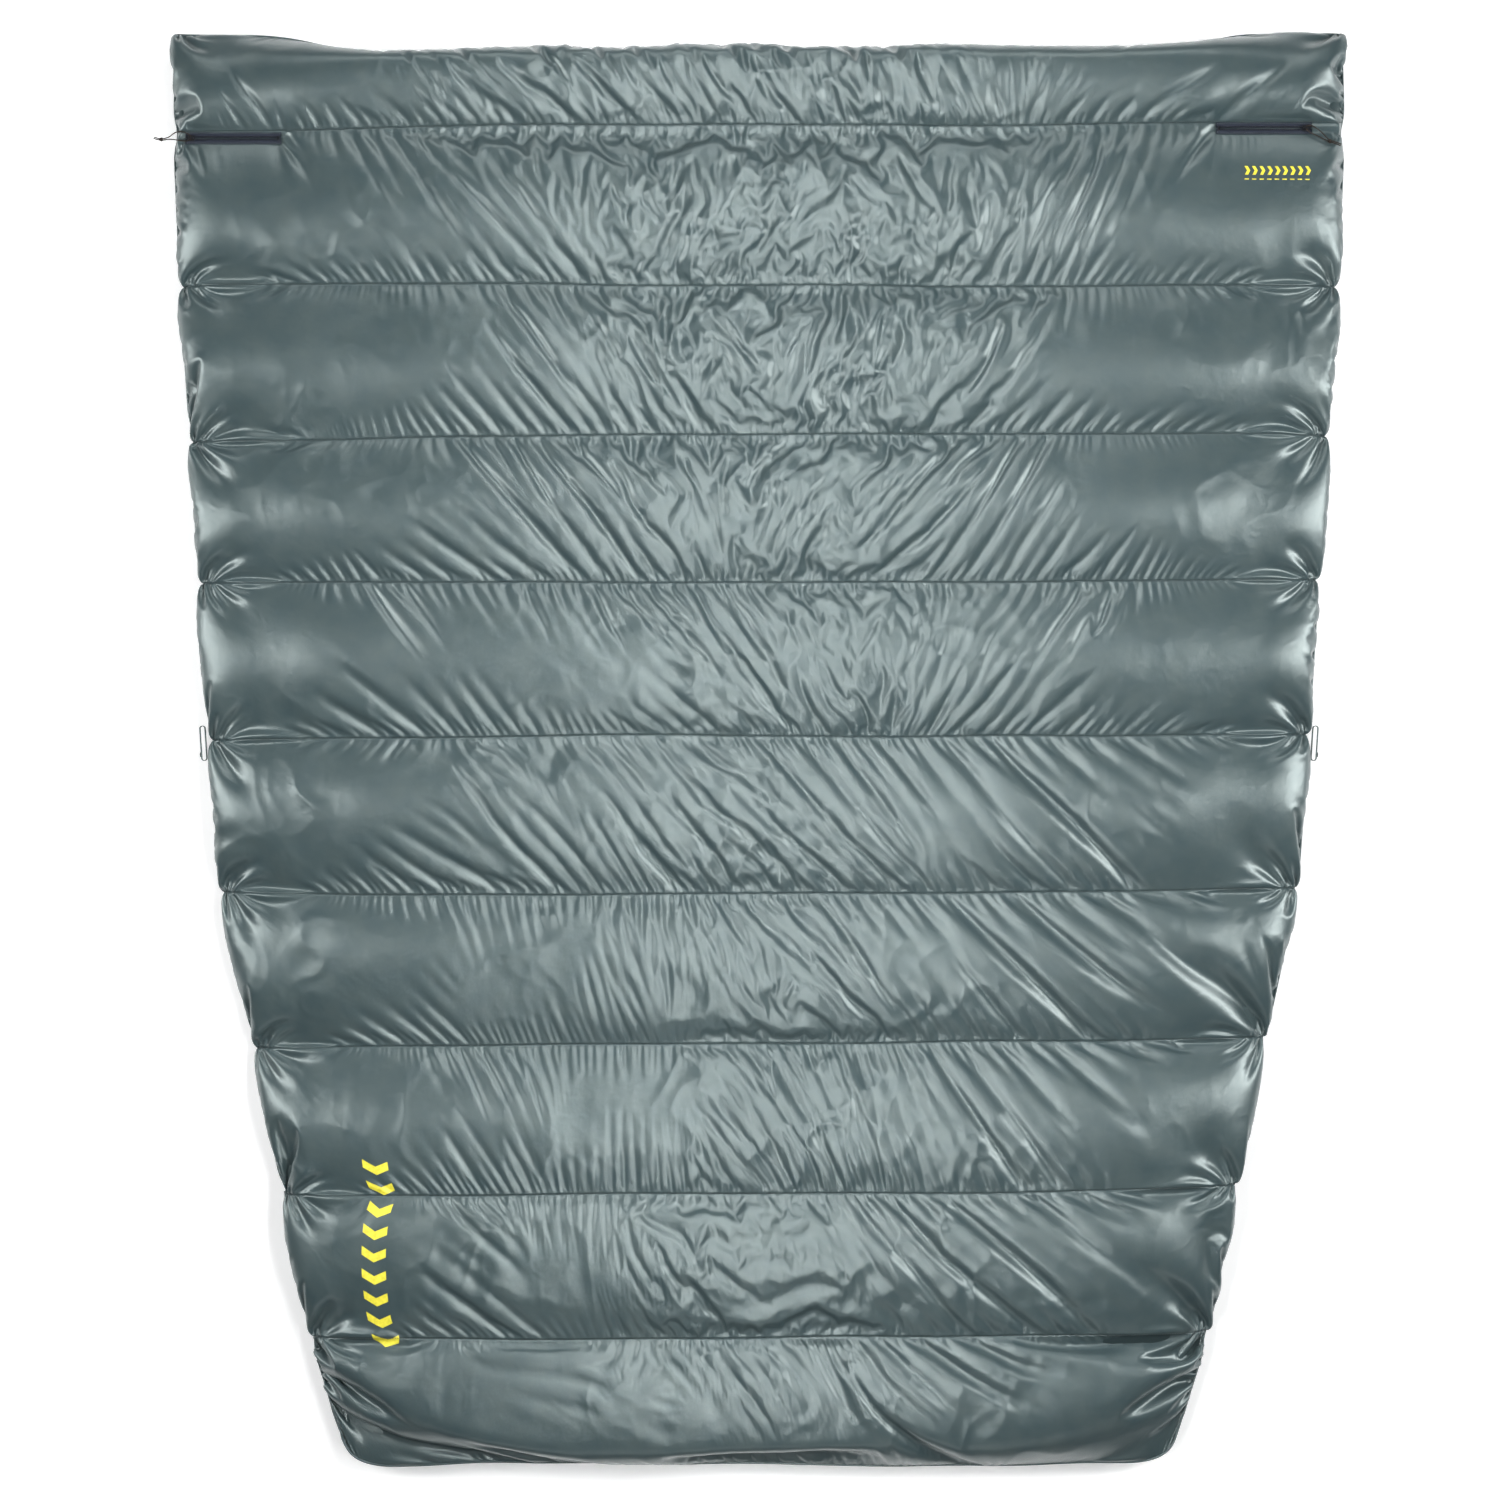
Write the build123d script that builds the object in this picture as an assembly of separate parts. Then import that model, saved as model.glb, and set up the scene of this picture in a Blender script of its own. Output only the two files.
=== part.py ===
from build123d import *
import os
from math import atan2, degrees, pi, radians, tan

# Two-person camp quilt, laid flat with its outer fabric up. Millimetres.
# +Z is up, +Y runs to the head end, X runs across. The origin is under the middle, on the ground.

# ---- plan: half widths and edge heights from head to foot ----
HEAD_Y, FOOT_Y = 1008.0, -1008.0
STATIONS = [  # y, half width, height of the rounded side
    (HEAD_Y, 822.0, 78.0),
    (820.0, 830.0, 78.0),
    (-190.0, 765.0, 78.0),
    (-622.0, 671.0, 112.0),
    (-830.0, 632.0, 112.0),
    (FOOT_Y, 574.0, 112.0),
]
HEAD_CORNER_R, FOOT_CORNER_R = 38.0, 94.0
CORNER_REACH = 4.0  # the corner arcs start this far outside the edges, so they cut them cleanly
SIDE_TOP_R, SIDE_BOTTOM_R = 36.0, 14.0

# ---- baffled body ----
SEAM_Y = [862.0, 648.0, 438.0, 232.0, 14.0, -203.0, -415.0, -622.0, -820.0]
SEAM_Z = 46.0  # height of the outer fabric at an ordinary seam
FOOT_SEAM_Z = 80.0  # the same over the footbox
LOBE_RISE, HEAD_LOBE_RISE, FOOT_LOBE_RISE = 22.0, 12.0, 17.0
HEAD_SHOULDER_Y, HEAD_SHOULDER_Z = 988.0, 50.0
FOOT_SHOULDER_Y, FOOT_SHOULDER_Z = -985.0, 82.0
END_BULGE = 5.0  # each end's arc is this far short of the end where it turns down
HEAD_TURN_Z, FOOT_TURN_Z = 42.0, 72.0
HEAD_LOW_Z, FOOT_LOW_Z = 26.0, 58.0  # the end faces' flat parts stop at these heights
HEAD_BEVEL, HEAD_BEVEL_Z = 10.0, 12.0  # the slope under the head edge
PERIMETER_SEAM_Z = 20.0  # where the outer fabric meets the liner
SKIN = 1.0  # fabric, drawn thicker than it is so that it is a solid
EASE = 0.1  # between pieces that lie together
BAFFLE = 0.8
FILL_WALL = 5.0  # the down is drawn as a closed hollow pad, because it is mostly air
CUT_ABOVE = 0.2  # a fabric is parted this far above its inner face, so that no sliver is left

# ---- footbox ----
MOUTH_Y = SEAM_Y[7]
RISE_START_Y = -420.0  # the liner lifts off the ground from here to the mouth
PANEL_TOP_Z = 30.0
CAVITY_TOP_Z = 44.0
GUSSET = 34.0
PANEL_BAFFLE_Y = SEAM_Y[8]
PANEL_MOUTH_R = 8.0
LABEL = (45.0, 60.0, 0.4)
LABEL_FROM_SIDE, LABEL_FROM_MOUTH = 25.0, 20.0

# ---- stash pocket zips, lying along the first seam at both sides ----
ZIP_LENGTH = 134.0
ZIP_SEAT_Z, GROOVE_FLOOR_Z = 43.6, 42.0
SEAT_HALF, GROOVE_HALF = 8.6, 5.0
SEAT_PAST_TAPE = 6.0
TAPE_HALF, TAPE_T = 8.0, 0.6
SLOT_HALF = 0.6  # between the two halves of the zip, where the slider's post runs
COIL_OUT, COIL_H = 2.9, 2.0
STOP_L, STOP_H, OUTER_STOP_U, INNER_STOP_U = 2.2, 2.7, 2.0, 129.0
SLIDER_L, WING_HALF, WING_T = 9.0, 4.3, 0.9
SLIDER_GAP = 0.3
POST_L, POST_T = 3.0, 0.6
FLANGE_T = 1.0
BRIDGE_HALF, BRIDGE_L, BRIDGE_BAR, EYE_H, EYE_L = 0.8, 6.8, 1.1, 2.8, 4.4
POCKET_BAG = (142.0, 95.0, 2.6)
BAG_PAST_TAPE, BAG_CORNER_R = 4.0, 6.0
ZIPS = {  # outer end, centre line, and the way to the middle of the quilt
    "left": {"outer_x": -803.0, "y": 853.0, "inward": 1},
    "right": {"outer_x": 774.0, "y": 867.0, "inward": -1},
}
SLIDER_U = OUTER_STOP_U + STOP_L + SLIDER_GAP + SLIDER_L / 2
TRAVEL = INNER_STOP_U - SLIDER_GAP - SLIDER_L / 2 - SLIDER_U

# ---- pull cords, each threaded through the slider's eye and knotted ----
CORD_D = 1.6
EYE_Z = 48.8
EYE_SHIFT = 1.0  # the cord is pulled to the outer side of the eye
KNOT_R = 3.5
# Each leg's route from the middle of the eye: outward from the quilt, towards the head, up.
LEGS = {
    "left": {
        "a": [(0, 0, 0), (0, 2.0, 0), (1.7, 3.9, 0), (5.4, 6.4, 0.2), (11, 8.4, 0.5),
              (18, 8.8, 0.8), (24.5, 5.4, 1.0), (29, 1.3, 1.2), (34.6, -0.9, 1.3), (40.5, -1.9, 1.3),
              (46, -1.0, 1.3), (51, 0.9, 1.1)],
        "b": [(0, 0, 0), (0, -1.9, 0), (1.9, -3.7, 0), (5.6, -4.6, 0.2), (11.5, -4.5, 0.5),
              (18, -3.6, 0.8), (24.5, -2.4, 1.0), (30, -2.2, 1.2), (35.6, -3.1, 1.3), (41.3, -3.8, 1.3),
              (46.8, -2.9, 1.3), (52, -0.9, 1.1)],
    },
    "right": {
        "a": [(0, 0, 0), (0, 2.0, 0), (2.1, 3.4, 0.3), (6.2, 3.0, 1.2), (11.5, 0.4, 2.5),
              (16.9, -4.0, 4.0), (22.6, -9.6, 5.8), (26.9, -15.1, 7.2), (31.4, -19.0, 8.1),
              (36.8, -20.6, 8.4), (42.4, -22.3, 8.4), (47.4, -24.6, 8.2)],
        "b": [(0, 0, 0), (0, -2.0, 0), (1.4, -4.3, 0.5), (4.7, -7.0, 1.7), (9.6, -9.6, 3.2),
              (15.2, -12.3, 4.9), (20.8, -15.6, 6.4), (25.7, -18.4, 7.5), (30.6, -20.9, 8.1),
              (36.0, -22.5, 8.4), (41.5, -24.3, 8.4), (46.4, -26.7, 8.2)],
    },
}
KNOT_AT = {"left": (41.0, -2.8, 1.5), "right": (31.2, -20.0, 8.3)}

# ---- a loop at each side for a sleeping pad's strap, on the perimeter seam ----
LOOP_SEAM = 4
LOOP_LENGTH, LOOP_DEPTH, LOOP_T = 50.0, 8.4, 1.2
LOOP_Z = (14.5, 22.5)
LOOP_SHIFT = -8.0
SNAP_R, SNAP_T = 3.6, 1.6
SNAP_FROM_END = 9.0

# ---- sizes of cutting blocks, all larger than the quilt ----
WIDE = 900.0
PAST = 50.0
UNDER, OVER = -5.0, 140.0


def half_width(y):
    """The quilt's half width at y, from the stations on either side."""
    for (y1, w1, _), (y2, w2, _) in zip(STATIONS, STATIONS[1:]):
        if y2 <= y <= y1:
            return w1 + (w2 - w1) * (y1 - y) / (y1 - y2)
    raise ValueError(f"{y} is past the quilt's ends")


def block(x, y, z):
    """A box from three (low, high) pairs."""
    size = [high - low for low, high in (x, y, z)]
    return Pos(x[0], y[0], z[0]) * Box(*size, align=(Align.MIN,) * 3)


def side_form(inset):
    """The plan taper with its rounded long edges, as one loft through upright sections."""
    sections = []
    stations = list(STATIONS)
    stations[0] = (HEAD_Y + CORNER_REACH, *STATIONS[0][1:])
    stations[-1] = (FOOT_Y - CORNER_REACH, *STATIONS[-1][1:])
    for y, half, height in stations:
        plane = Plane((0, y, 0), x_dir=(1, 0, 0), z_dir=(0, -1, 0))
        rect = Rectangle(2 * (half - inset), height - 2 * inset)
        rounded = fillet(rect.vertices().group_by(Axis.Y)[-1], SIDE_TOP_R - inset)
        rounded = fillet(rounded.vertices().sort_by(Axis.Y)[:2], SIDE_BOTTOM_R - inset)
        sections.append(plane * Pos(0, height / 2) * rounded)
    return loft(sections, ruled=True)


def corner_form(inset):
    """An upright prism that rounds the four corners in plan and leaves the long sides alone."""
    reach = CORNER_REACH - inset
    right = [(half + reach, y) for y, half, _ in STATIONS]
    right[0] = (right[0][0], HEAD_Y + reach)
    right[-1] = (right[-1][0], FOOT_Y - reach)
    outline = make_face(Polyline(*right, *[(-x, y) for x, y in reversed(right)], close=True))
    corners = outline.vertices().group_by(Axis.Y)
    outline = fillet(corners[-1], max(HEAD_CORNER_R - inset, 1.0))
    foot = outline.vertices().group_by(Axis.Y)[0]
    outline = fillet(foot, FOOT_CORNER_R - inset)
    return extrude(outline, amount=OVER)


def body_face(inset):
    """The main layer cut along its length: lobes on top, flat below, lifted over the footbox."""
    knots = [(HEAD_SHOULDER_Y, HEAD_SHOULDER_Z)]
    knots += [(y, SEAM_Z if y > MOUTH_Y else FOOT_SEAM_Z) for y in SEAM_Y]
    knots += [(FOOT_SHOULDER_Y, FOOT_SHOULDER_Z)]
    rises = [HEAD_LOBE_RISE] + [LOBE_RISE] * (len(SEAM_Y) - 1) + [FOOT_LOBE_RISE]
    edges = []
    for (y1, z1), (y2, z2), rise in zip(knots, knots[1:], rises):
        middle = ((y1 + y2) / 2, (z1 + z2) / 2 + rise - inset)
        edges.append(ThreePointArc((y1, z1 - inset), middle, (y2, z2 - inset)))
    head, foot = HEAD_Y - inset, FOOT_Y + inset
    head_low, foot_low = (head, HEAD_LOW_Z), (foot, FOOT_LOW_Z)
    edges.append(ThreePointArc(edges[0] @ 0, (head - END_BULGE, HEAD_TURN_Z - inset), head_low))
    edges.append(ThreePointArc(edges[len(SEAM_Y)] @ 1, (foot + END_BULGE, FOOT_TURN_Z - inset), foot_low))
    under = [
        head_low,
        (head, HEAD_BEVEL_Z),
        (head - HEAD_BEVEL, inset),
        (RISE_START_Y, inset),
        (MOUTH_Y, CAVITY_TOP_Z + inset),
        (foot, CAVITY_TOP_Z + inset),
        foot_low,
    ]
    edges.append(Polyline(*under))
    return Plane.YZ * make_face(Curve() + edges)


def zip_seats(grow):
    """The flat seat of each zip and the groove under its slider, open to the quilt's side."""
    cuts = []
    for zip_at in ZIPS.values():
        x = sorted([zip_at["outer_x"] + zip_at["inward"] * (ZIP_LENGTH + SEAT_PAST_TAPE + grow),
                    zip_at["outer_x"] - zip_at["inward"] * PAST])
        for half, floor in ((SEAT_HALF, ZIP_SEAT_Z), (GROOVE_HALF, GROOVE_FLOOR_Z)):
            y = (zip_at["y"] - half - grow, zip_at["y"] + half + grow)
            cuts.append(block(x, y, (floor - grow, OVER)))
    return cuts


def body_form(inset):
    """The main layer as one solid, this far inside its outer surface."""
    solid = extrude(body_face(inset), amount=WIDE, both=True)
    solid = solid & side_form(inset) & corner_form(inset)
    for cut in zip_seats(inset):
        solid = solid - cut
    return solid


def panel_form(inset):
    """The footbox's bottom panel as one solid, with a rounded edge at the mouth."""
    profile = Rectangle(MOUTH_Y - FOOT_Y - 2 * inset, PANEL_TOP_Z - 2 * inset)
    profile = fillet(profile.vertices().group_by(Axis.X)[-1], PANEL_MOUTH_R - inset)
    profile = Plane.YZ * Pos((MOUTH_Y + FOOT_Y) / 2, PANEL_TOP_Z / 2) * profile
    return extrude(profile, amount=WIDE, both=True) & side_form(inset) & corner_form(inset)


def across(y_low, y_high):
    """Everything between two planes across the quilt."""
    return block((-WIDE, WIDE), (y_low, y_high), (UNDER, OVER))


def below(points):
    """Everything under a line that is drawn in side view."""
    face = Plane.YZ * make_face(Polyline(*points, (points[-1][0], UNDER), (points[0][0], UNDER), close=True))
    return extrude(face, amount=WIDE, both=True)


def hollow_pad(outer, inner, y_low, y_high):
    """One chamber's down: a closed pad between two baffles, with air inside."""
    return (outer & across(y_low, y_high)) - (inner & across(y_low + FILL_WALL, y_high - FILL_WALL))


def fabric_and_fill():
    """The outer fabric, liner, baffles and down of the main layer."""
    inside, fill, air = (body_form(i) for i in (SKIN, SKIN + EASE, SKIN + EASE + FILL_WALL))
    skin = body_form(0) - inside
    flat = [(HEAD_Y + PAST, PERIMETER_SEAM_Z), (RISE_START_Y, PERIMETER_SEAM_Z)]
    lifted = [
        (RISE_START_Y, SKIN + CUT_ABOVE),
        (MOUTH_Y, CAVITY_TOP_Z + SKIN + CUT_ABOVE),
        (FOOT_Y - PAST, CAVITY_TOP_Z + SKIN + CUT_ABOVE),
    ]
    liner, lining = below(flat), below(lifted)
    parts = {
        "outer_shell": skin - liner - lining,
        "liner": skin & liner,
        "footbox_lining_top": skin & lining,
    }
    for k, y in enumerate(SEAM_Y, 1):
        parts[f"baffle_wall_{k}"] = fill & across(y - BAFFLE / 2, y + BAFFLE / 2)
    gap = BAFFLE / 2 + EASE
    edges = [HEAD_Y + PAST] + SEAM_Y + [FOOT_Y - PAST]
    for k, (high, low) in enumerate(zip(edges, edges[1:]), 1):
        parts[f"down_fill_{k}"] = hollow_pad(fill, air, low + gap, high - gap)
    return parts


def footbox():
    """The bottom panel, its two fabrics, its down, and the gussets that join it to the main layer."""
    inside, fill, air = (panel_form(i) for i in (SKIN, SKIN + EASE, SKIN + EASE + FILL_WALL))
    skin = panel_form(0) - inside
    all_y = (FOOT_Y - PAST, MOUTH_Y + PAST)
    floor = block((-WIDE, WIDE), all_y, (PANEL_TOP_Z - SKIN - CUT_ABOVE, PANEL_TOP_Z))
    gap = BAFFLE / 2 + EASE
    level = block((-WIDE, WIDE), (FOOT_Y, MOUTH_Y), (PANEL_TOP_Z + EASE, CAVITY_TOP_Z - EASE))
    rim = level & side_form(0) & corner_form(0)
    rim = rim - corner_form(GUSSET)
    toe_y = FOOT_Y + GUSSET - CORNER_REACH
    label_z = PANEL_TOP_Z + EASE
    label_x = GUSSET + LABEL_FROM_SIDE - half_width(MOUTH_Y)
    label_y = MOUTH_Y - LABEL_FROM_MOUTH
    return {
        "footbox_panel": skin - floor,
        "footbox_lining_floor": skin & floor,
        "footbox_baffle": fill & across(PANEL_BAFFLE_Y - BAFFLE / 2, PANEL_BAFFLE_Y + BAFFLE / 2),
        "footbox_fill_1": hollow_pad(fill, air, PANEL_BAFFLE_Y + gap, MOUTH_Y + PAST),
        "footbox_fill_2": hollow_pad(fill, air, FOOT_Y - PAST, PANEL_BAFFLE_Y - gap),
        "footbox_gusset_toe": rim & across(FOOT_Y - PAST, toe_y),
        "footbox_gusset_left": rim & block((-WIDE, 0), (toe_y + EASE, MOUTH_Y), (0, OVER)),
        "footbox_gusset_right": rim & block((0, WIDE), (toe_y + EASE, MOUTH_Y), (0, OVER)),
        "care_label": block(
            (label_x, label_x + LABEL[0]),
            (label_y - LABEL[1], label_y),
            (label_z, label_z + LABEL[2]),
        ),
    }


def zip_parts(side):
    """One stash pocket zip: tape, coil, end stops and the bag behind it."""
    zip_at = ZIPS[side]
    centre = zip_at["y"]

    def along(u_low, u_high):
        return sorted(zip_at["outer_x"] + zip_at["inward"] * u for u in (u_low, u_high))

    def halves(u, low, high, z):
        """The same strip on both sides of the slider's slot."""
        x = along(*u)
        return [block(x, (centre + low, centre + high), z), block(x, (centre - high, centre - low), z)]

    tape_top = ZIP_SEAT_Z + TAPE_T
    tape = (ZIP_SEAT_Z, tape_top)
    coil = (tape_top, tape_top + COIL_H)
    stop = (tape_top, tape_top + STOP_H)
    coil_u = (OUTER_STOP_U + STOP_L, INNER_STOP_U)
    stops = [
        block(along(u, u + STOP_L), (centre - COIL_OUT, centre + COIL_OUT), stop)
        for u in (OUTER_STOP_U, INNER_STOP_U)
    ]
    bag_top = GROOVE_FLOOR_Z - SKIN - EASE
    bag_y = SEAM_Y[0] - BAFFLE
    bag = block(
        along(-BAG_PAST_TAPE, POCKET_BAG[0] - BAG_PAST_TAPE),
        (bag_y - POCKET_BAG[1], bag_y),
        (bag_top - POCKET_BAG[2], bag_top),
    )
    return {
        f"zip_tape_{side}": Compound(halves((0, ZIP_LENGTH), SLOT_HALF, TAPE_HALF, tape)),
        f"zip_coil_{side}": Compound(halves(coil_u, SLOT_HALF, COIL_OUT, coil)),
        f"zip_stops_{side}": Compound(stops),
        f"pocket_bag_{side}": fillet(bag.edges().filter_by(Axis.Z), BAG_CORNER_R),
    }


def slider(side):
    """The slider: two wings joined by a post, side flanges, and a bridge with the eye."""
    tape_top = ZIP_SEAT_Z + TAPE_T
    upper = tape_top + COIL_H + SLIDER_GAP
    lower = GROOVE_FLOOR_Z + SLIDER_GAP
    wing = Polyline(
        (-SLIDER_L / 2, WING_HALF - 0.9),
        (SLIDER_L / 2 - 3, WING_HALF),
        (SLIDER_L / 2, WING_HALF - 1.6),
        (SLIDER_L / 2, 1.6 - WING_HALF),
        (SLIDER_L / 2 - 3, -WING_HALF),
        (-SLIDER_L / 2, 0.9 - WING_HALF),
        close=True,
    )
    wing = fillet(make_face(wing).vertices(), 0.8)
    top = Pos(0, 0, upper) * extrude(wing, amount=WING_T)
    bottom = Pos(0, 0, lower) * extrude(wing, amount=WING_T)
    post = block((SLIDER_L / 2 - POST_L - 1, SLIDER_L / 2 - 1), (-POST_T / 2, POST_T / 2),
                 (lower + WING_T / 2, upper + WING_T / 2))
    rim = extrude(wing, amount=upper + WING_T / 2 - tape_top - 0.4)
    rim = Pos(0, 0, tape_top + 0.4) * rim
    channel = block((-SLIDER_L, SLIDER_L), (FLANGE_T - WING_HALF, WING_HALF - FLANGE_T),
                    (tape_top, upper))
    flanges = rim - channel
    eye_floor = upper + WING_T
    bridge = Rectangle(BRIDGE_L, EYE_H + BRIDGE_BAR, align=(Align.CENTER, Align.MIN))
    bridge = fillet(bridge.vertices().group_by(Axis.Y)[-1], 1.4)
    eye = fillet(Rectangle(EYE_L, EYE_H, align=(Align.CENTER, Align.MIN)).vertices(), 0.5)
    bridge = extrude(Plane.XZ * (bridge - eye), amount=BRIDGE_HALF, both=True)
    bridge = Pos(0, 0, eye_floor - 0.05) * bridge
    solid = top + bottom + post + flanges + bridge
    zip_at = ZIPS[side]
    x = zip_at["outer_x"] + zip_at["inward"] * SLIDER_U
    turn = Rot(0, 0, 180) if zip_at["inward"] > 0 else Rot()
    return Pos(x, zip_at["y"], 0) * turn * solid


def eye_point(side):
    """The middle of the cord where it passes through the slider's eye."""
    zip_at = ZIPS[side]
    x = zip_at["outer_x"] + zip_at["inward"] * (SLIDER_U - EYE_SHIFT)
    return Vector(x, zip_at["y"], EYE_Z)


def placed(side, point):
    """A point of a pull's route, in the quilt's own frame."""
    out, head, up = point
    return eye_point(side) + Vector(-ZIPS[side]["inward"] * out, head, up)


def cord_tube(name, route):
    """A cord along straight runs joined by tangent arcs as large as the runs allow."""
    radii = []
    for a, b, c in zip(route, route[1:], route[2:]):
        turn = (b - a).get_angle(c - b)
        shorter = min((b - a).length, (c - b).length)
        radii.append(0.45 * shorter / tan(radians(turn / 2)))
    path = FilletPolyline(*route, radius=radii)
    tube = sweep(Plane(path @ 0, z_dir=path % 0) * Circle(CORD_D / 2), path=path)
    section = pi * CORD_D**2 / 4
    print(f"{name}: length {path.length:.1f}, radii {[round(r, 1) for r in radii]},",
          f"volume ratio {tube.volume / section / path.length:.4f}")
    return tube


def pull(side):
    """The two legs of a pull cord and the knot that grips them, drawn as a ball around both."""
    legs = {
        leg: cord_tube(f"{side} {leg}", [placed(side, p) for p in route])
        for leg, route in LEGS[side].items()
    }
    parts = {f"pull_cord_{side}_{leg}": tube for leg, tube in legs.items()}
    parts[f"pull_knot_{side}"] = Pos(*placed(side, KNOT_AT[side])) * Sphere(KNOT_R)
    return parts


def strap_loops():
    """Flat tape loops sewn to the perimeter seam, each with a snap at its foot end."""
    parts, snaps = {}, []
    ring = SlotOverall(LOOP_LENGTH, LOOP_DEPTH, rotation=90)
    hole = SlotOverall(LOOP_LENGTH - 2 * LOOP_T, LOOP_DEPTH - 2 * LOOP_T, rotation=90)
    ring = extrude(ring - hole, amount=LOOP_Z[1] - LOOP_Z[0])
    y = SEAM_Y[LOOP_SEAM] + LOOP_SHIFT
    slant = degrees(atan2(half_width(y + 1) - half_width(y - 1), 2))
    for side, sign in (("left", -1), ("right", 1)):
        # its long flat side lies along the quilt's slanting edge
        turn = Rot(0, 0, -sign * slant)
        x = sign * (half_width(y) + LOOP_DEPTH / 2 + EASE / 2)
        parts[f"strap_loop_{side}"] = Pos(x, y, LOOP_Z[0]) * turn * ring
        snap = Cylinder(SNAP_R, SNAP_T, align=(Align.CENTER, Align.CENTER, Align.MIN))
        at = Pos(sign * LOOP_DEPTH / 2, SNAP_FROM_END - LOOP_LENGTH / 2, (LOOP_Z[1] - LOOP_Z[0]) / 2)
        snaps.append(Pos(x, y, LOOP_Z[0]) * turn * at * Rot(0, sign * 90, 0) * snap)
    parts["loop_snaps"] = Compound([s for snap in snaps for s in snap.solids()])
    return parts


def around(solid, side_room, room_below):
    """The box around a solid, with this much room at its sides and below it."""
    box = solid.bounding_box()
    return block(
        (box.min.X - side_room, box.max.X + side_room),
        (box.min.Y - side_room, box.max.Y + EASE),
        (box.min.Z - room_below, box.max.Z + EASE),
    )


def quilt():
    """Every piece of the quilt by name."""
    parts = {**fabric_and_fill(), **footbox(), **strap_loops()}
    gap = BAFFLE / 2 + EASE
    chamber = body_form(SKIN + EASE) & across(SEAM_Y[1] + gap, SEAM_Y[0] - gap)
    for side in ZIPS:
        pieces = zip_parts(side)
        # the second pad is thickened under the pocket bag before the bag's room is cut out of it
        bag = pieces[f"pocket_bag_{side}"]
        bed = around(bag, FILL_WALL + EASE, FILL_WALL + EASE) & chamber
        parts["down_fill_2"] = (parts["down_fill_2"] + bed) - around(bag, EASE, EASE)
        parts.update(pieces)
        parts[f"slider_{side}"] = slider(side)
        parts.update(pull(side))
    return parts


os.makedirs("parts", exist_ok=True)
for node, shape in quilt().items():
    export_step(shape, f"parts/{node}.step")
for side in ZIPS:
    print(f"eye {side}: {tuple(round(v, 3) for v in eye_point(side))}, travel {TRAVEL:.2f}")
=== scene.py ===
"""A two-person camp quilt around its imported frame: simulated fabric, zips, pull cords and strap loops."""
import math

import bpy
import numpy as np
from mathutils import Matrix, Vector


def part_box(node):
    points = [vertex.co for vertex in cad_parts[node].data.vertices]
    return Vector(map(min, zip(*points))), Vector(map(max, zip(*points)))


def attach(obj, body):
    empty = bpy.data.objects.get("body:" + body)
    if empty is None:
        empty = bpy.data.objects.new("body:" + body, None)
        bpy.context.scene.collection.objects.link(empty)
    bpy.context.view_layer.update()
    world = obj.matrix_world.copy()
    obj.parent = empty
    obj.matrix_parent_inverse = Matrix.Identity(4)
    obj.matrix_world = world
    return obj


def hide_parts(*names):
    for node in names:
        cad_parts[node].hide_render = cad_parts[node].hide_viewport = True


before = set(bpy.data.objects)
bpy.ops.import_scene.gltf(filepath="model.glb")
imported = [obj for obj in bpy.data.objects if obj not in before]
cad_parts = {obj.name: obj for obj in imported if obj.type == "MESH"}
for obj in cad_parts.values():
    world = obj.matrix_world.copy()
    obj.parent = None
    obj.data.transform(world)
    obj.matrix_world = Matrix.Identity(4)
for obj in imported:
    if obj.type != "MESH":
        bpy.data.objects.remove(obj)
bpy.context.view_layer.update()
BODY = "quilt"
SIDES = {"left": -1, "right": 1}

# ---- places read from the frame, in metres ----


def corners(node):
    """The lowest and highest corners of a CAD node, and its middle."""
    low, high = (np.array(corner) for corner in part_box(node))
    return low, high, (low + high) / 2


def middle(node, axis):
    low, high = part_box(node)
    return (low[axis] + high[axis]) / 2


SEAMS = 9
CHAMBERS = SEAMS + 1
BAFFLES = [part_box(f"baffle_wall_{k}") for k in range(1, CHAMBERS)]
SEAM_Y = [middle(f"baffle_wall_{k}", 1) for k in range(1, CHAMBERS)]
FABRIC = 0.0011  # the CAD shell's thickness, and the gap to the baffle under it
SEAM_HALF = [high[0] + FABRIC for low, high in BAFFLES]
SEAM_Z = [high[2] + FABRIC for low, high in BAFFLES]
FOOT_Y, HEAD_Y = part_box("outer_shell")[0][1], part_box("outer_shell")[1][1]
HEAD_HALF = SEAM_HALF[0] - 0.004
FOOT_HALF = SEAM_HALF[-1] - 0.060

# ---- the outer fabric's cut and how it lies ----

SPACING_X, SPACING_Y = 0.0096, 0.0132  # the first grid's; each later grid is twice as fine
LEVELS = 3
PERIMETER_IN = 0.005  # the perimeter seam lies this far inside the outline
PERIMETER_Z, FOOT_PERIMETER_Z = 0.020, 0.048
SIDE_SLOPE = 0.105  # the width over which the top turns down at a side
LOFT, FOOT_LOFT = 0.0700, 0.1000
LOBE = 1.9  # a chamber's section from seam to seam is a curve of this power


def smooth(t):
    """0 below 0, 1 above 1, and an even S between."""
    t = np.clip(t, 0.0, 1.0)
    return t * t * (3 - 2 * t)


def bell(x, width):
    """1 at 0, falling off evenly on both sides."""
    return np.exp(-((x / width) ** 2))


def wander(x, scale, count=5, seed=0):
    """A slow, smooth curve of about unit height, from a few sines with seeded phases."""
    r = np.random.default_rng(seed)
    out = np.zeros_like(x)
    for n in range(1, count + 1):
        out += np.sin(x / scale * n * r.uniform(0.7, 1.3) + r.uniform(0, 6.28)) / n
    return out / 1.5


WAVES = 14


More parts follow.
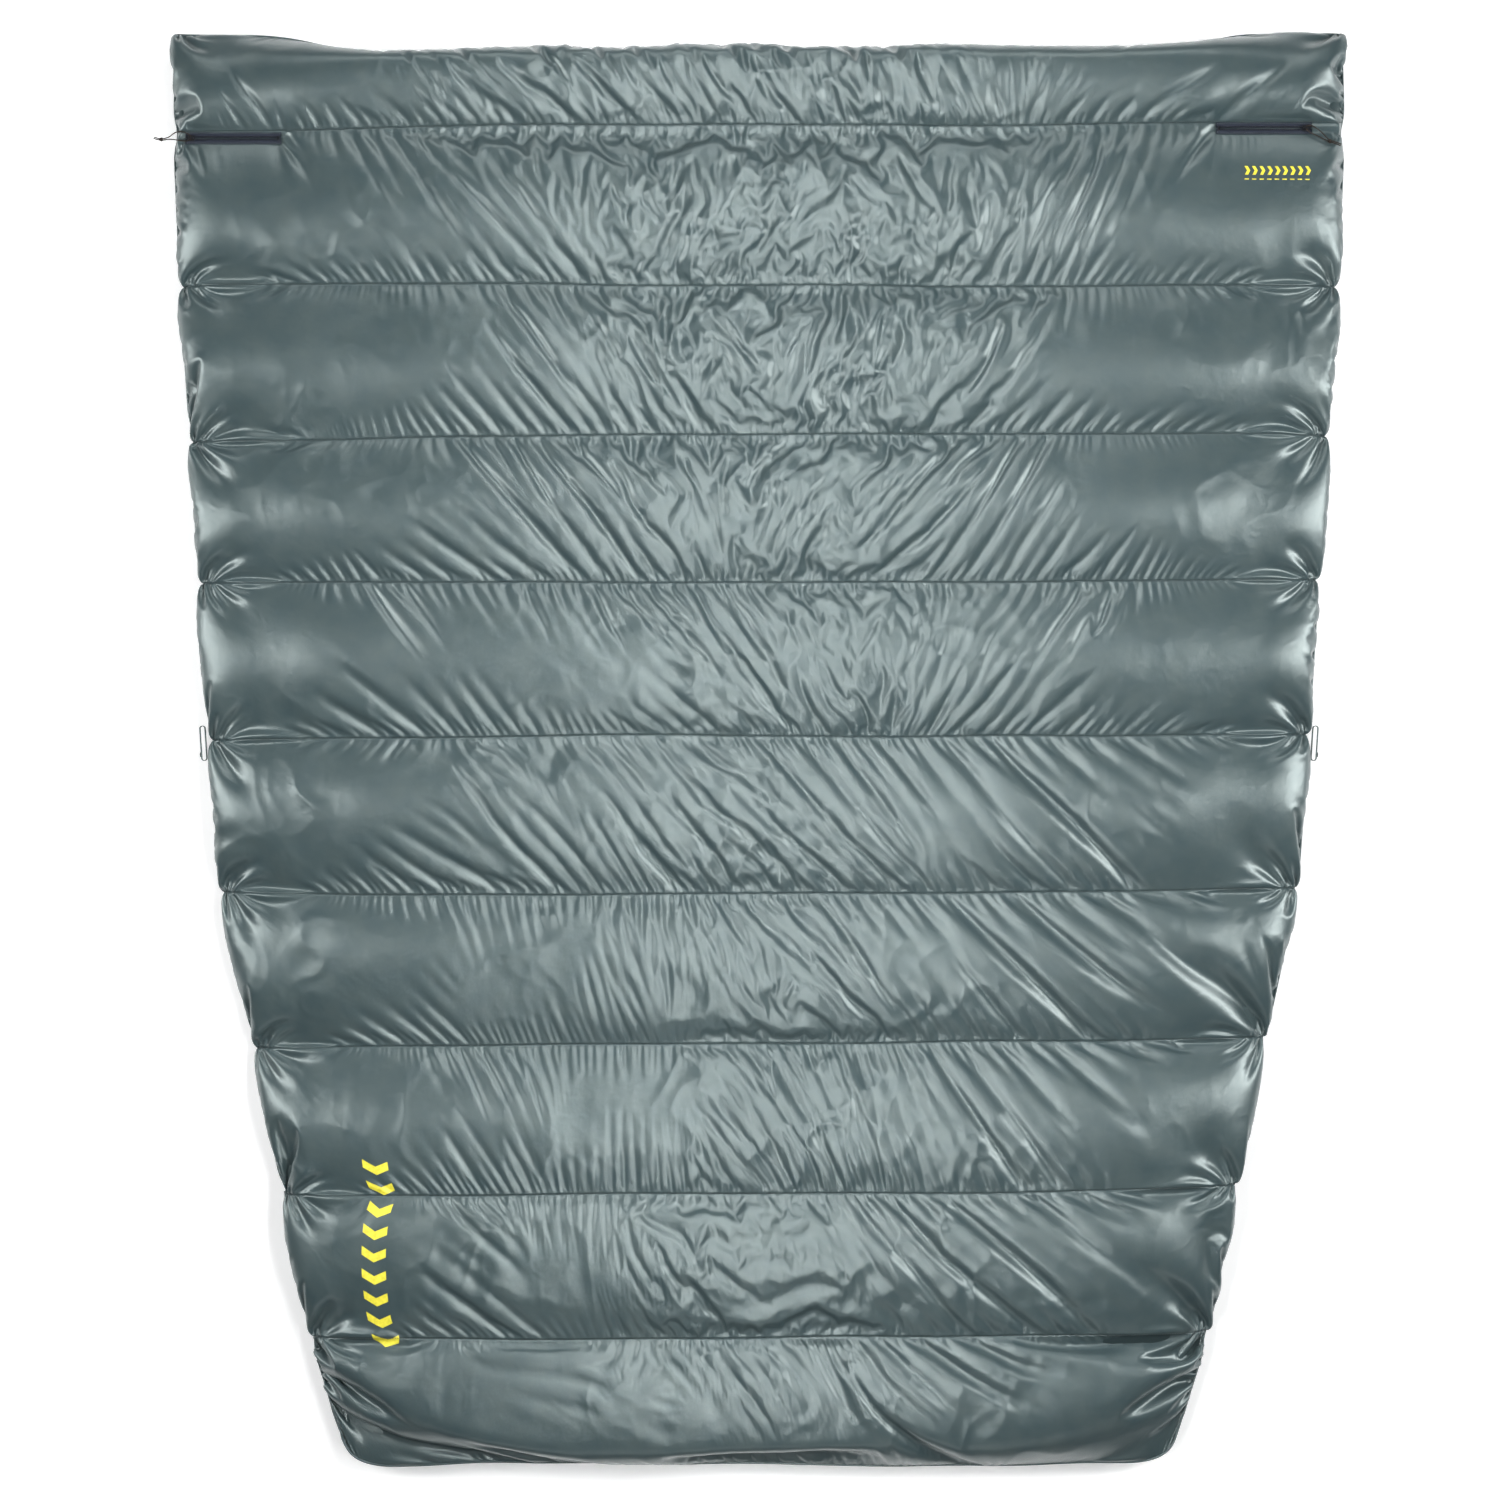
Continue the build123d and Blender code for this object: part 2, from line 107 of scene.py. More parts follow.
def blotches(x, y, size, seed):
    """Smooth random patches of about unit height, size metres across."""
    r = np.random.default_rng(seed)
    out = np.zeros(np.broadcast(x, y).shape)
    for _ in range(WAVES):
        angle = r.uniform(0, math.pi)
        step = r.uniform(0.7, 1.5) * 2.2 / size
        out += np.sin((x * math.cos(angle) + y * math.sin(angle)) * step + r.uniform(0, 6.28))
    return out / math.sqrt(WAVES / 2)


TABLE = 64


def cells(a, b, seed):
    """Smooth random values between -1 and 1, over cells one unit wide, repeating after TABLE cells."""
    table = np.random.default_rng(seed).uniform(-1, 1, (TABLE, TABLE))
    i, j = np.floor(a).astype(int), np.floor(b).astype(int)
    across, down = smooth(a - i), smooth(b - j)
    i0, i1, j0, j1 = i % TABLE, (i + 1) % TABLE, j % TABLE, (j + 1) % TABLE
    upper = table[i0, j0] * (1 - across) + table[i1, j0] * across
    lower = table[i0, j1] * (1 - across) + table[i1, j1] * across
    return upper * (1 - down) + lower * down


KINK = 0.05  # how far apart a ridge's kinks are


def ridges(x, y, wide, long, turn, seed):
    """Sharp crooked ridges of unit height with hollows between them, at an angle to the quilt's length."""
    c, s = math.cos(turn), math.sin(turn)
    bent = 0.7 * cells(x / KINK, y / KINK, seed + 50)
    n = cells((x * c + y * s) / wide + bent, (y * c - x * s) / long - bent, seed)
    return 0.6 - 2 * np.abs(n)


# a seam's y at the left end, the middle and the right end, less its baffle's own y
SEAM_BENDS = ((0.000, 0.010, 0.016), (0.000, 0.000, -0.003), (-0.008, 0.000, 0.002), (-0.003, 0.000, 0.003),
              (-0.003, 0.002, 0.006), (0.000, -0.002, 0.004), (-0.005, 0.000, 0.010), (0.000, 0.000, 0.014),
              (-0.004, 0.000, 0.004))


SEAM_WANDER, HEAD_WANDER, FOOT_WANDER = 0.0022, 0.0025, 0.003


def seam_line(k, x):
    """y of seam k at x."""
    left, centre, right = SEAM_BENDS[k]
    half = SEAM_HALF[k]
    end = np.where(x < 0, left, right)
    bend = centre + (end - centre) * np.abs(x / half) ** 1.5
    return SEAM_Y[k] + bend + SEAM_WANDER * wander(x, 0.22, seed=20 + k)


def head_line(x):
    """y of the head edge: drawn in by its cord between the two raised corners."""
    corner = smooth((np.abs(x + 0.01) - 0.50) / 0.20)
    return HEAD_Y - 0.036 + 0.029 * corner + HEAD_WANDER * wander(x, 0.10, 6, seed=3)


def foot_line(x):
    """y of the foot edge: nearly straight between two rounded corners."""
    corner = np.clip((np.abs(x) - 0.485) / 0.095, 0, 1)
    bend = 0.075 * (1 - np.sqrt(1 - 0.96 * corner**2))
    return FOOT_Y + 0.006 + bend + FOOT_WANDER * wander(x, 0.16, seed=4)


def along(y, head, seams, foot):
    """A value known at the head edge, the seams and the foot edge, at any y."""
    ys = [FOOT_Y, *reversed(SEAM_Y), HEAD_Y]
    return np.interp(y, ys, [foot, *reversed(seams), head])


SEAM_DRAW = 0.006


def half_width(y):
    """The quilt's half width, drawn in a little at each seam."""
    width = along(y, HEAD_HALF, SEAM_HALF, FOOT_HALF)
    for k in range(SEAMS):
        width = width - SEAM_DRAW * bell(y - SEAM_Y[k], 0.020)
    return width


def over_footbox(y):
    """1 over the footbox, falling to 0 on the way to the body."""
    return smooth((SEAM_Y[6] - y) / (SEAM_Y[6] - SEAM_Y[7]))


def perimeter_z(y):
    """Height of the perimeter seam."""
    return PERIMETER_Z + (FOOT_PERIMETER_Z - PERIMETER_Z) * over_footbox(y)


def loft(y):
    """Height of the chambers' tops."""
    return LOFT + (FOOT_LOFT - LOFT) * over_footbox(y)


# ---- the zips' places ----

TAPE = {side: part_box(f"zip_tape_{side}") for side in SIDES}
ZIP_Y = {side: middle(f"zip_tape_{side}", 1) for side in SIDES}
SEAT_Z = TAPE["left"][0][2] - 0.0003
GROOVE_Z, GROOVE_HALF = SEAT_Z - 0.0020, 0.0060  # under the coil, where the slider's lower wings run
ZIP_HALF = (TAPE["left"][1][1] - TAPE["left"][0][1]) / 2
ZIP_IN = {"left": -TAPE["left"][1][0], "right": TAPE["right"][0][0]}


def near_zip(x, y):
    """1 over either zip, falling to nearly 0 about 30 mm from it."""
    out = np.zeros(np.broadcast(x, y).shape)
    for side, sign in SIDES.items():
        past = np.maximum(np.abs(y - ZIP_Y[side]) - ZIP_HALF - 0.001, 0)
        along_x = np.maximum(ZIP_IN[side] - sign * x, 0)
        out = np.maximum(out, np.where(sign * x > 0, bell(np.hypot(past, along_x), 0.016), 0))
    return out


def under_coil(x, y):
    """Whether a point lies in the groove under a zip's coil."""
    left = (x < 0) & (np.abs(y - ZIP_Y["left"]) < GROOVE_HALF)
    right = (x > 0) & (np.abs(y - ZIP_Y["right"]) < GROOVE_HALF)
    return left | right


ZIP_SLOPE = 0.014


def side_slope(y):
    """The top turns down over a shorter way where a zip runs out to the edge."""
    near = np.maximum(bell(y - ZIP_Y["left"], 0.030), bell(y - ZIP_Y["right"], 0.030))
    return SIDE_SLOPE - (SIDE_SLOPE - ZIP_SLOPE) * near


# the most height beside each zip, so that its pull clears the fabric: (distance from the zip's y, height)
UNLIMITED = 0.075
ROOM = {
    "left": ((-0.030, UNLIMITED), (-0.012, 0.0478), (-ZIP_HALF, SEAT_Z), (ZIP_HALF, SEAT_Z), (0.0115, 0.0478),
             (0.030, UNLIMITED)),
    "right": ((-0.046, UNLIMITED), (-0.030, 0.0536), (-0.016, 0.0520), (-0.010, 0.0480), (-ZIP_HALF, SEAT_Z),
              (ZIP_HALF, SEAT_Z), (0.026, UNLIMITED)),
}


def ceiling_at(x, y):
    """The most height the fabric may take: the down's loft, and under the zips' pulls less."""
    nearest = np.interp(-y, [-HEAD_Y, *(-np.array(SEAM_Y)), -FOOT_Y], range(CHAMBERS + 1))
    off_centre = np.abs(2 * (nearest - np.floor(nearest)) - 1)
    low = along(y, SEAM_Z[0] - 0.004, SEAM_Z, SEAM_Z[-1])
    top = np.broadcast_to(low + (loft(y) - low) * (1 - off_centre**LOBE), np.broadcast(x, y).shape).copy()
    for side, sign in SIDES.items():
        room = np.interp(y - ZIP_Y[side], *zip(*ROOM[side]))
        inside = smooth((sign * x - ZIP_IN[side] + 0.030) / 0.020)
        top = np.where(sign * x > 0, np.minimum(top, room + (1 - inside) * 0.05), top)
    return top


# ---- the cloth solver ----

KEPT_SPEED = 0.9  # share of a point's speed that it keeps to the next step
SHEAR = 0.45  # how stiff the fabric is along its diagonals


def relax(p, rest, fixed, steps, sweeps, push, bend):
    """Position-based cloth on a grid p[3, rows, columns]; rest holds the six kinds of rest length."""
    kinds = (
        ("x", 0, 1, 1.0), ("y", 1, 0, 1.0), ("d", 1, 1, SHEAR), ("u", -1, 1, SHEAR),
        ("xx", 0, 2, bend), ("yy", 2, 0, bend),
    )
    free = (~fixed).astype(np.float32)
    old = p.copy()
    for _ in range(steps):
        speed = (p - old) * KEPT_SPEED
        old = p.copy()
        p = p + (speed + push(p)) * free
        for _ in range(sweeps):
            for name, down, across, stiffness in kinds:
                for colour in (0, 1):
                    project(p, free, rest[name], down, across, stiffness, colour)
    return p


def pairs(size, gap, colour):
    """Slices of first and second ends of the pairs of one colour: no point is in two of them."""
    if gap == 1:
        return [(slice(colour, size - 1, 2), slice(colour + 1, size, 2))]
    return [(slice(c, size - 2, 4), slice(c + 2, size, 4)) for c in (2 * colour, 2 * colour + 1)]


def project(p, free, length, down, across, stiffness, colour):
    """Moves each pair of one kind and colour towards its rest length."""
    rows, columns = p.shape[1:]
    gap = abs(down)
    upper, lower = (slice(0, rows - gap), slice(gap, rows)) if gap else (slice(None), slice(None))
    if not across:
        for first, second in pairs(rows, gap, colour):
            shift(p, free, length[first], (first, slice(None)), (second, slice(None)), stiffness)
        return
    for first, second in pairs(columns, across, colour):
        one, other = (lower, upper) if down < 0 else (upper, lower)
        shift(p, free, length[upper, first], (one, first), (other, second), stiffness)


def shift(p, free, length, a, b, stiffness):
    """Moves the points a and b of p along the lines between them."""
    pa, pb = p[(slice(None), *a)], p[(slice(None), *b)]
    wa, wb = free[a], free[b]
    d = pb - pa
    far = np.sqrt(np.einsum("kij,kij->ij", d, d)) + 1e-9
    d *= ((far - length) / far / np.maximum(wa + wb, 1) * stiffness)[None]
    pa += d * wa
    pb -= d * wb


def sewn_edges(shape):
    """A grid of flags, true all round its border."""
    fixed = np.zeros(shape, bool)
    fixed[[0, -1], :] = True
    fixed[:, [0, -1]] = True
    return fixed


def refine(p):
    """The grid made twice as fine in both directions."""
    for axis in (1, 2):
        q = np.moveaxis(p, axis, -1)
        out = np.zeros((*q.shape[:-1], 2 * q.shape[-1] - 1), q.dtype)
        out[..., ::2] = q
        out[..., 1::2] = (q[..., 1:] + q[..., :-1]) / 2
        out[..., 3:-3:2] = (q[..., 1:-2] + q[..., 2:-1]) * 0.5625 - (q[..., :-3] + q[..., 3:]) * 0.0625
        p = np.moveaxis(out, -1, axis)
    return np.ascontiguousarray(p)


def normals(p):
    """Unit normals of a grid."""
    across, down = np.zeros_like(p), np.zeros_like(p)
    across[:, :, 1:-1] = p[:, :, 2:] - p[:, :, :-2]
    down[:, 1:-1] = p[:, 2:] - p[:, :-2]
    n = np.cross(down, across, axis=0)
    return n / (np.sqrt((n * n).sum(axis=0)) + 1e-12)


# ---- the outer fabric ----

HEAD_TURN, FOOT_TURN = 0.014, 0.020  # fabric that turns down at the head and the foot, past the chords
HEAD_TOP, FOOT_TOP = 0.062, 0.097  # the starting surface's height over the first and the last chamber


class Shell:
    """The outer fabric's grid at one level: rows run from head to foot, columns from left to right."""

    def __init__(self, level):
        self.scale = 2**level
        body = [a - b for a, b in zip(SEAM_Y, SEAM_Y[1:])]
        self.chords = [HEAD_Y - 0.010 - SEAM_Y[0], *body, SEAM_Y[-1] - FOOT_Y]
        turned = [HEAD_TURN, *(0.0 for _ in body), FOOT_TURN]
        self.lengths = [c + t for c, t in zip(self.chords, turned)]
        counts = [max(4, round(n / SPACING_Y)) * self.scale for n in self.lengths]
        half = round((HEAD_HALF + 0.02) / SPACING_X)
        self.s = np.linspace(-1, 1, 2 * half * self.scale + 1)[None, :]
        self.chamber = np.repeat(np.arange(CHAMBERS + 1), [*counts, 1])
        self.t = np.concatenate([*(np.arange(n) / n for n in counts), [1.0]])
        self.chamber[-1] = CHAMBERS - 1
        self.seam_rows = np.cumsum(counts)[:-1]
        self.starts = np.concatenate([[0], np.cumsum(counts)])
        place = np.interp(self.chamber + self.t, range(CHAMBERS + 1), [HEAD_Y, *SEAM_Y, FOOT_Y])
        self.y = place[:, None]

    def start(self):
        """A smooth lobed surface to begin from, with the sewn rows where they stay."""
        lines = [head_line, *(lambda x, k=k: seam_line(k, x) for k in range(SEAMS)), foot_line]
        s, t, chamber = self.s, self.t[:, None], self.chamber
        x = s * (half_width(self.y) - PERIMETER_IN)
        upper = np.stack([lines[c](row) for c, row in zip(chamber, x)])
        lower = np.stack([lines[c + 1](row) for c, row in zip(chamber, x)])
        between_seams = ((chamber > 0) & (chamber < CHAMBERS - 1))[:, None]
        chords = np.take(self.chords, chamber)[:, None]
        self.stretch = np.where(between_seams, (upper - lower) / chords, 1.0)
        y = upper + (lower - upper) * t
        low = perimeter_z(y)
        top = self.profile(t)
        wide = half_width(y) - PERIMETER_IN
        slope = side_slope(y)
        drop = top - low
        arc = math.pi / 2 * np.sqrt((slope**2 + drop**2) / 2)
        reach = np.abs(s) * (wide - slope + arc)
        turn = np.clip((reach - wide + slope) / arc, 0, 1) * math.pi / 2
        p = np.zeros((3, *x.shape), np.float32)
        p[0] = np.sign(s) * np.where(turn > 0, wide - slope + slope * np.sin(turn), reach)
        p[1] = y
        p[2] = top - drop * (1 - np.cos(turn))
        flat = near_zip(p[0], p[1])
        seat = np.where(under_coil(p[0], p[1]), GROOVE_Z, SEAT_Z)
        p[2] = np.where(flat > 0.02, p[2] + (np.minimum(p[2], seat) - p[2]) * flat, p[2])
        self.arc, self.slope, self.wide = arc, slope, wide
        return p

    def profile(self, t):
        """Height of the top in the middle of the quilt, at each row."""
        z = [PERIMETER_Z, *SEAM_Z, FOOT_PERIMETER_Z]
        chamber = self.chamber[:, None]
        a, b = np.take(z, chamber), np.take(z, chamber + 1)
        lobe = 0.022 * 4 * t * (1 - t)
        head_turn = np.sqrt(1 - (1 - np.clip(t / 0.36, 0, 1)) ** 2)
        foot_turn = np.sqrt(1 - (1 - np.clip((1 - t) / 0.32, 0, 1)) ** 2)
        rise, fall = smooth((t - 0.4) / 0.6), smooth((0.6 - t) / 0.6)
        head = PERIMETER_Z + (HEAD_TOP - PERIMETER_Z) * head_turn - (HEAD_TOP - SEAM_Z[0]) * rise
        foot = FOOT_PERIMETER_Z + (FOOT_TOP - FOOT_PERIMETER_Z) * foot_turn - (FOOT_TOP - SEAM_Z[-1]) * fall
        body = a + (b - a) * t + lobe
        return np.where(chamber == 0, head, np.where(chamber == CHAMBERS - 1, foot, body))

    def to_seam(self):
        """Distance along the fabric from each row to the nearer seam."""
        return np.minimum(self.t, 1 - self.t)[:, None] * np.take(self.lengths, self.chamber)[:, None]

    def slack(self):
        """Extra fabric across and along, as shares: puckers by the seams, folds in the lobes."""
        s, y = self.s, self.y
        by_seam = bell(self.to_seam(), 0.022)
        by_side = smooth((np.abs(s) - 0.82) / 0.14)
        crumpled = bell(s - 0.06, 0.38) * (0.50 + 0.50 * smooth((y - 0.10) / 0.30))
        x = s * self.wide
        calm = 1 - near_zip(x, y)
        patches = blotches(s * 0.8, y, 0.16, seed=31) + PATCHY * cells(x / 0.045, y / 0.060, seed=33)
        across = 0.004 + 0.020 * by_seam + 0.032 * crumpled + 0.007 * patches
        across = across * (1 - 0.25 * by_side)
        bulges = blotches(s * 0.8, y, 0.14, seed=32) + PATCHY * cells(x / 0.060, y / 0.040, seed=34)
        lengthwise = 0.028 + 0.028 * crumpled + 0.010 * bulges + 0.025 * by_side
        return across * calm, lengthwise * calm

    def lean(self):
        """How far each chamber's lower seam is fed sideways, in metres: it slants the folds."""
        s, chamber = self.s, self.chamber[:, None]
        left = -0.009 * bell(s + 0.52, 0.38)
        right = np.where(chamber < 5, 0.006, -0.024) * bell(s - 0.55, 0.38)
        knots = np.linspace(-1, 1, 7)
        random = np.random.default_rng(5).uniform(-1, 1, (CHAMBERS, len(knots)))
        extra = np.stack([np.interp(s[0], knots, row) for row in random])[self.chamber]
        return left + right + RANDOM_LEAN * extra

    def rest(self):
        """Rest lengths of the six kinds of pair, and the flat fabric's coordinates."""
        across, lengthwise = self.slack()
        reach = self.wide - self.slope + self.arc
        grow = reach * (1 + across)
        du = (grow[:, 1:] + grow[:, :-1]) / 2 * np.diff(self.s)
        half = self.s.shape[1] // 2
        u = np.concatenate([np.zeros((len(self.t), 1)), np.cumsum(du, axis=1)], axis=1)
        u = u - u[:, half:half + 1]
        rows = np.diff(self.starts)[self.chamber]
        step = (np.take(self.lengths, self.chamber) / rows)[:-1, None]
        step_v = step * (1 + lengthwise[:-1]) * self.stretch[:-1]
        lean = self.lean() / rows[:, None]
        step_lean = lean[:-1] + np.diff(self.s * reach * CUT_SPARE, axis=0)
        rest = {"x": du, "y": np.hypot(step_lean, step_v)}
        rest["xx"] = du[:, 1:] + du[:, :-1]
        rest["yy"] = rest["y"][1:] + rest["y"][:-1]
        mid_du = (du[1:] + du[:-1]) / 2
        mid_v = (step_v[:, 1:] + step_v[:, :-1]) / 2
        mid_lean = (step_lean[:, 1:] + step_lean[:, :-1]) / 2
        rest["d"] = np.hypot(mid_du + mid_lean, mid_v)
        rest["u"] = np.hypot(mid_du - mid_lean, mid_v)
        v = np.concatenate([np.zeros((1, self.s.shape[1])), np.cumsum(step_v, axis=0)])
        return {k: r.astype(np.float32) for k, r in rest.items()}, u, v

    def creases(self):
        """Height of the creases left in the fabric from being packed, in metres: most in the middle."""
        x, y, s = self.s * self.wide, self.y, self.s
        worn = 0.20 + 0.80 * bell(s - 0.04, 0.38) * (0.65 + 0.35 * smooth((y - 0.10) / 0.4))
        worn = np.clip(worn + 0.35 * cells(x / 0.16, y / 0.12, seed=41), 0.05, 1.1)
        height = sum(h * ridges(x, y, wide, long, turn, seed) for wide, long, turn, h, seed in CREASES)
        calm = smooth(self.to_seam() / 0.014) * smooth((1 - np.abs(s)) / 0.05) * (1 - near_zip(x, y))
        return height * worn * calm

    def held(self, p):
        """Points that stay where they are: the perimeter, the seams and the strips under the zips."""
        fixed = sewn_edges(p.shape[1:])
        fixed[self.seam_rows] = True
        for side, sign in SIDES.items():
            fixed |= (sign * p[0] > ZIP_IN[side] - 0.004) & (np.abs(p[1] - ZIP_Y[side]) < ZIP_HALF + 0.001)
        return fixed

    def push(self, p, strength):
        """Down pushes the fabric out along its normals until it meets the loft or the outline."""
        room = ceiling_at(p[0], p[1]).astype(np.float32)
        width = half_width(p[1]).astype(np.float32) + np.float32(0.003)

        def run(p):
            n = normals(p)
            n[2] *= np.clip((room - p[2]) / EASING, -2.0, 1)
            n[0] *= np.clip((width - np.abs(p[0])) / EASING, -2.0, 1)
            return n * np.float32(strength)
        return run


PATCHY = 1.6  # how much more the extra fabric varies over small cells than over large patches
RANDOM_LEAN = 0.008
CUT_SPARE = 1.03
EASING = 0.004  # the down's push fades out over this last stretch
# each set of creases: breadth and length of the hollows between them, their angle, height and seed
CREASES = ((0.055, 0.095, 0.35, 0.0045, 61), (0.048, 0.080, -0.50, 0.0040, 62),
           (0.028, 0.050, 0.10, 0.0015, 63))
# each level's share of the creases' height, steps, sweeps, stiffness against bending and push of the down
PASSES = ((0.5, 90, 6, 0.10, 0.00007), (1.1, 110, 6, 0.12, 0.000015), (0.3, 40, 6, 0.12, 0.000008))
LEFT_OVER = 0.5  # share of the creases' height that is pressed in after the last level
JITTER = 0.05  # random start, as a share of the grid's spacing


def simulate_shell():
    """The finished fabric's points, its grid, and its coordinates on the flat cloth."""
    p = None
    for level in range(LEVELS):
        shell = Shell(level)
        start = shell.start()
        rest, u, v = shell.rest()
        fixed = shell.held(start)
        if p is None:
            p = start.copy()
        else:
            p = refine(p)
            p[:, fixed] = start[:, fixed]
        pressed, steps, sweeps, bend, strength = PASSES[level]
        noise = np.random.default_rng(level).standard_normal(p.shape).astype(np.float32)
        p += np.where(fixed, 0, noise * SPACING_Y * JITTER / shell.scale)
        p += normals(p) * (shell.creases() * pressed).astype(np.float32)
        p = relax(p, rest, fixed, steps, sweeps, shell.push(start, strength), bend)
    p += normals(p) * (shell.creases() * LEFT_OVER).astype(np.float32)
    return p, shell, u, v


# ---- meshes ----


def put(name, data):
    """A new object that holds this data, in the scene."""
    made = bpy.data.objects.new(name, data)
    bpy.context.collection.objects.link(made)
    return made


def mesh_object(name, points, face_sets, finish, flat=None):
    """A mesh piece from points and arrays of equal-sided faces; flat holds its points on the uncut cloth."""
    mesh = bpy.data.meshes.new(name)
    points = np.asarray(points, np.float32)
    mesh.vertices.add(len(points))
    mesh.vertices.foreach_set("co", points.ravel())
    loops = np.concatenate([np.asarray(f, np.int32).ravel() for f in face_sets])
    sides = np.concatenate([np.full(len(f), np.shape(f)[1], np.int32) for f in face_sets])
    mesh.loops.add(len(loops))
    mesh.loops.foreach_set("vertex_index", loops)
    mesh.polygons.add(len(sides))
    mesh.polygons.foreach_set("loop_start", np.concatenate([[0], np.cumsum(sides)[:-1]]).astype(np.int32))
    mesh.polygons.foreach_set("loop_total", sides)
    mesh.update(calc_edges=True)
    mesh.shade_smooth()
    if flat is not None:
        layer = mesh.attributes.new("cloth", "FLOAT_VECTOR", "POINT")
        layer.data.foreach_set("vector", np.asarray(flat, np.float32).ravel())
    mesh.materials.append(finish)
    return put(name, mesh)


def grid_faces(rows, columns):
    """Quads between the points of a grid, numbered row by row."""
    i = np.arange(rows * columns).reshape(rows, columns)
    return np.stack([i[:-1, :-1], i[1:, :-1], i[1:, 1:], i[:-1, 1:]], axis=-1).reshape(-1, 4)


def pillow(name, p, u, v, walls, finish):
    """A closed crowned form: the grid p above, and under its edges sewn walls of this depth and a floor."""
    rows, columns = p.shape[1:]
    top = np.moveaxis(p, 0, -1).reshape(-1, 3)
    flat = np.stack([u, v, u * 0], axis=-1).reshape(-1, 3)
    count = rows * columns
    drop = np.array([0, 0, walls], np.float32)
    i = np.arange(count).reshape(rows, columns)
    head, foot = count + np.arange(columns), count + columns + np.arange(columns)
    points = np.concatenate([top, top[i[0]] - drop, top[i[-1]] - drop])
    flat = np.concatenate([flat, flat[i[0]], flat[i[-1]]])

    def strip(a, b):
        return np.stack([a[:-1], b[:-1], b[1:], a[1:]], axis=-1)

    strips = [strip(head, i[0]), strip(i[-1], foot), strip(foot, head)]
    quads = np.concatenate([grid_faces(rows, columns), *strips])
    left = np.concatenate([i[:, 0][::-1], [head[0], foot[0]]])[None]
    right = np.concatenate([i[:, -1], [foot[-1], head[-1]]])[None]
    return mesh_object(name, points, [quads, left, right], finish, flat)


def sheet_piece(name, p, u, v, finish, underside=False):
    """The grid p as one sheet, facing up or, as an underside, down."""
    faces = grid_faces(*p.shape[1:])
    if underside:
        faces = faces[:, ::-1]
    flat = np.stack([u, v, u * 0], axis=-1).reshape(-1, 3)
    return mesh_object(name, np.moveaxis(p, 0, -1).reshape(-1, 3), [faces], finish, flat)


def frames(path, closed=False):
    """A path's points, with two directions at each that lie square to it."""
    path = np.asarray(path, float)
    if closed:
        ahead, behind = np.roll(path, -1, axis=0), np.roll(path, 1, axis=0)
    else:
        ahead, behind = np.vstack([path[1:], path[-1:]]), np.vstack([path[:1], path[:-1]])
    tangent = ahead - behind
    tangent /= np.linalg.norm(tangent, axis=1)[:, None] + 1e-12
    side = np.zeros_like(tangent)
    guide = np.array([0.0, 0.0, 1.0]) if abs(tangent[0][2]) < 0.9 else np.array([1.0, 0.0, 0.0])
    for k, t in enumerate(tangent):
        guide = guide - t * guide.dot(t)
        guide /= np.linalg.norm(guide)
        side[k] = guide
    return path, side, np.cross(tangent, side)


def sweep(path, outline, closed=False):
    """Points and faces of a closed outline [(side, up)] swept along a path, capped if the path is open."""
    path, side, up = frames(path, closed)
    outline = np.asarray(outline, float)
    rings = path[:, None] + side[:, None] * outline[None, :, :1] + up[:, None] * outline[None, :, 1:2]
    n, m = rings.shape[:2]
    points = rings.reshape(-1, 3)
    i = np.arange(n * m).reshape(n, m)
    turn = np.roll(i, -1, axis=1)
    if closed:
        ahead = np.roll(i, -1, axis=0), np.roll(turn, -1, axis=0)
        return points, [np.stack([i, *ahead, turn], axis=-1).reshape(-1, 4)]
    quads = np.stack([i[:-1], i[1:], turn[1:], turn[:-1]], axis=-1).reshape(-1, 4)
    return points, [quads, i[:1], i[-1:, ::-1]]


def angles(count):
    """Angles evenly spaced round a circle."""
    return np.linspace(0, 2 * math.pi, count, endpoint=False)


def circle(radius, sides):
    a = angles(sides)
    return np.stack([np.cos(a) * radius, np.sin(a) * radius], axis=-1)


def ribbon_outline(width, thick):
    """A flat tape's cross-section with its corners cut off."""
    a, b = width / 2, thick / 2
    e = b * 0.35
    return np.array([(-a + e, -b), (a - e, -b), (a, -b + e), (a, b - e),
                     (a - e, b), (-a + e, b), (-a, b - e), (-a, -b + e)])


def gather_meshes(parts):
    """Several (points, faces) as one."""
    points, sets, first = [], {}, 0
    for pts, faces in parts:
        points.append(pts)
        for f in faces:
            f = np.asarray(f)
            sets.setdefault(f.shape[1], []).append(f + first)
        first += len(pts)
    return np.concatenate(points), [np.concatenate(f) for f in sets.values()]


def tube_faces(i):
    """Faces over rings of points numbered i[ring, place], with both ends closed."""
    turn = np.roll(i, -1, axis=1)
    quads = np.stack([i[:-1], turn[:-1], turn[1:], i[1:]], axis=-1).reshape(-1, 4)
    return [quads, i[:1, ::-1], i[-1:]]


LATHE_SIDES = 28


def lathe(profile, centre, axis):
    """Points and faces of (radius, height) pairs turned about an axis through centre."""
    axis = np.asarray(axis, float)
    a = np.cross(axis, [0.0, 1.0, 0.0]) if abs(axis[1]) < 0.9 else np.cross(axis, [1.0, 0.0, 0.0])
    a /= np.linalg.norm(a)
    b = np.cross(axis, a)
    turns = angles(LATHE_SIDES)
    rings = [[centre + axis * h + (a * math.cos(t) + b * math.sin(t)) * r for t in turns] for r, h in profile]
    i = np.arange(len(profile) * LATHE_SIDES).reshape(len(profile), LATHE_SIDES)
    return np.array(rings).reshape(-1, 3), tube_faces(i)


# ---- finishes ----


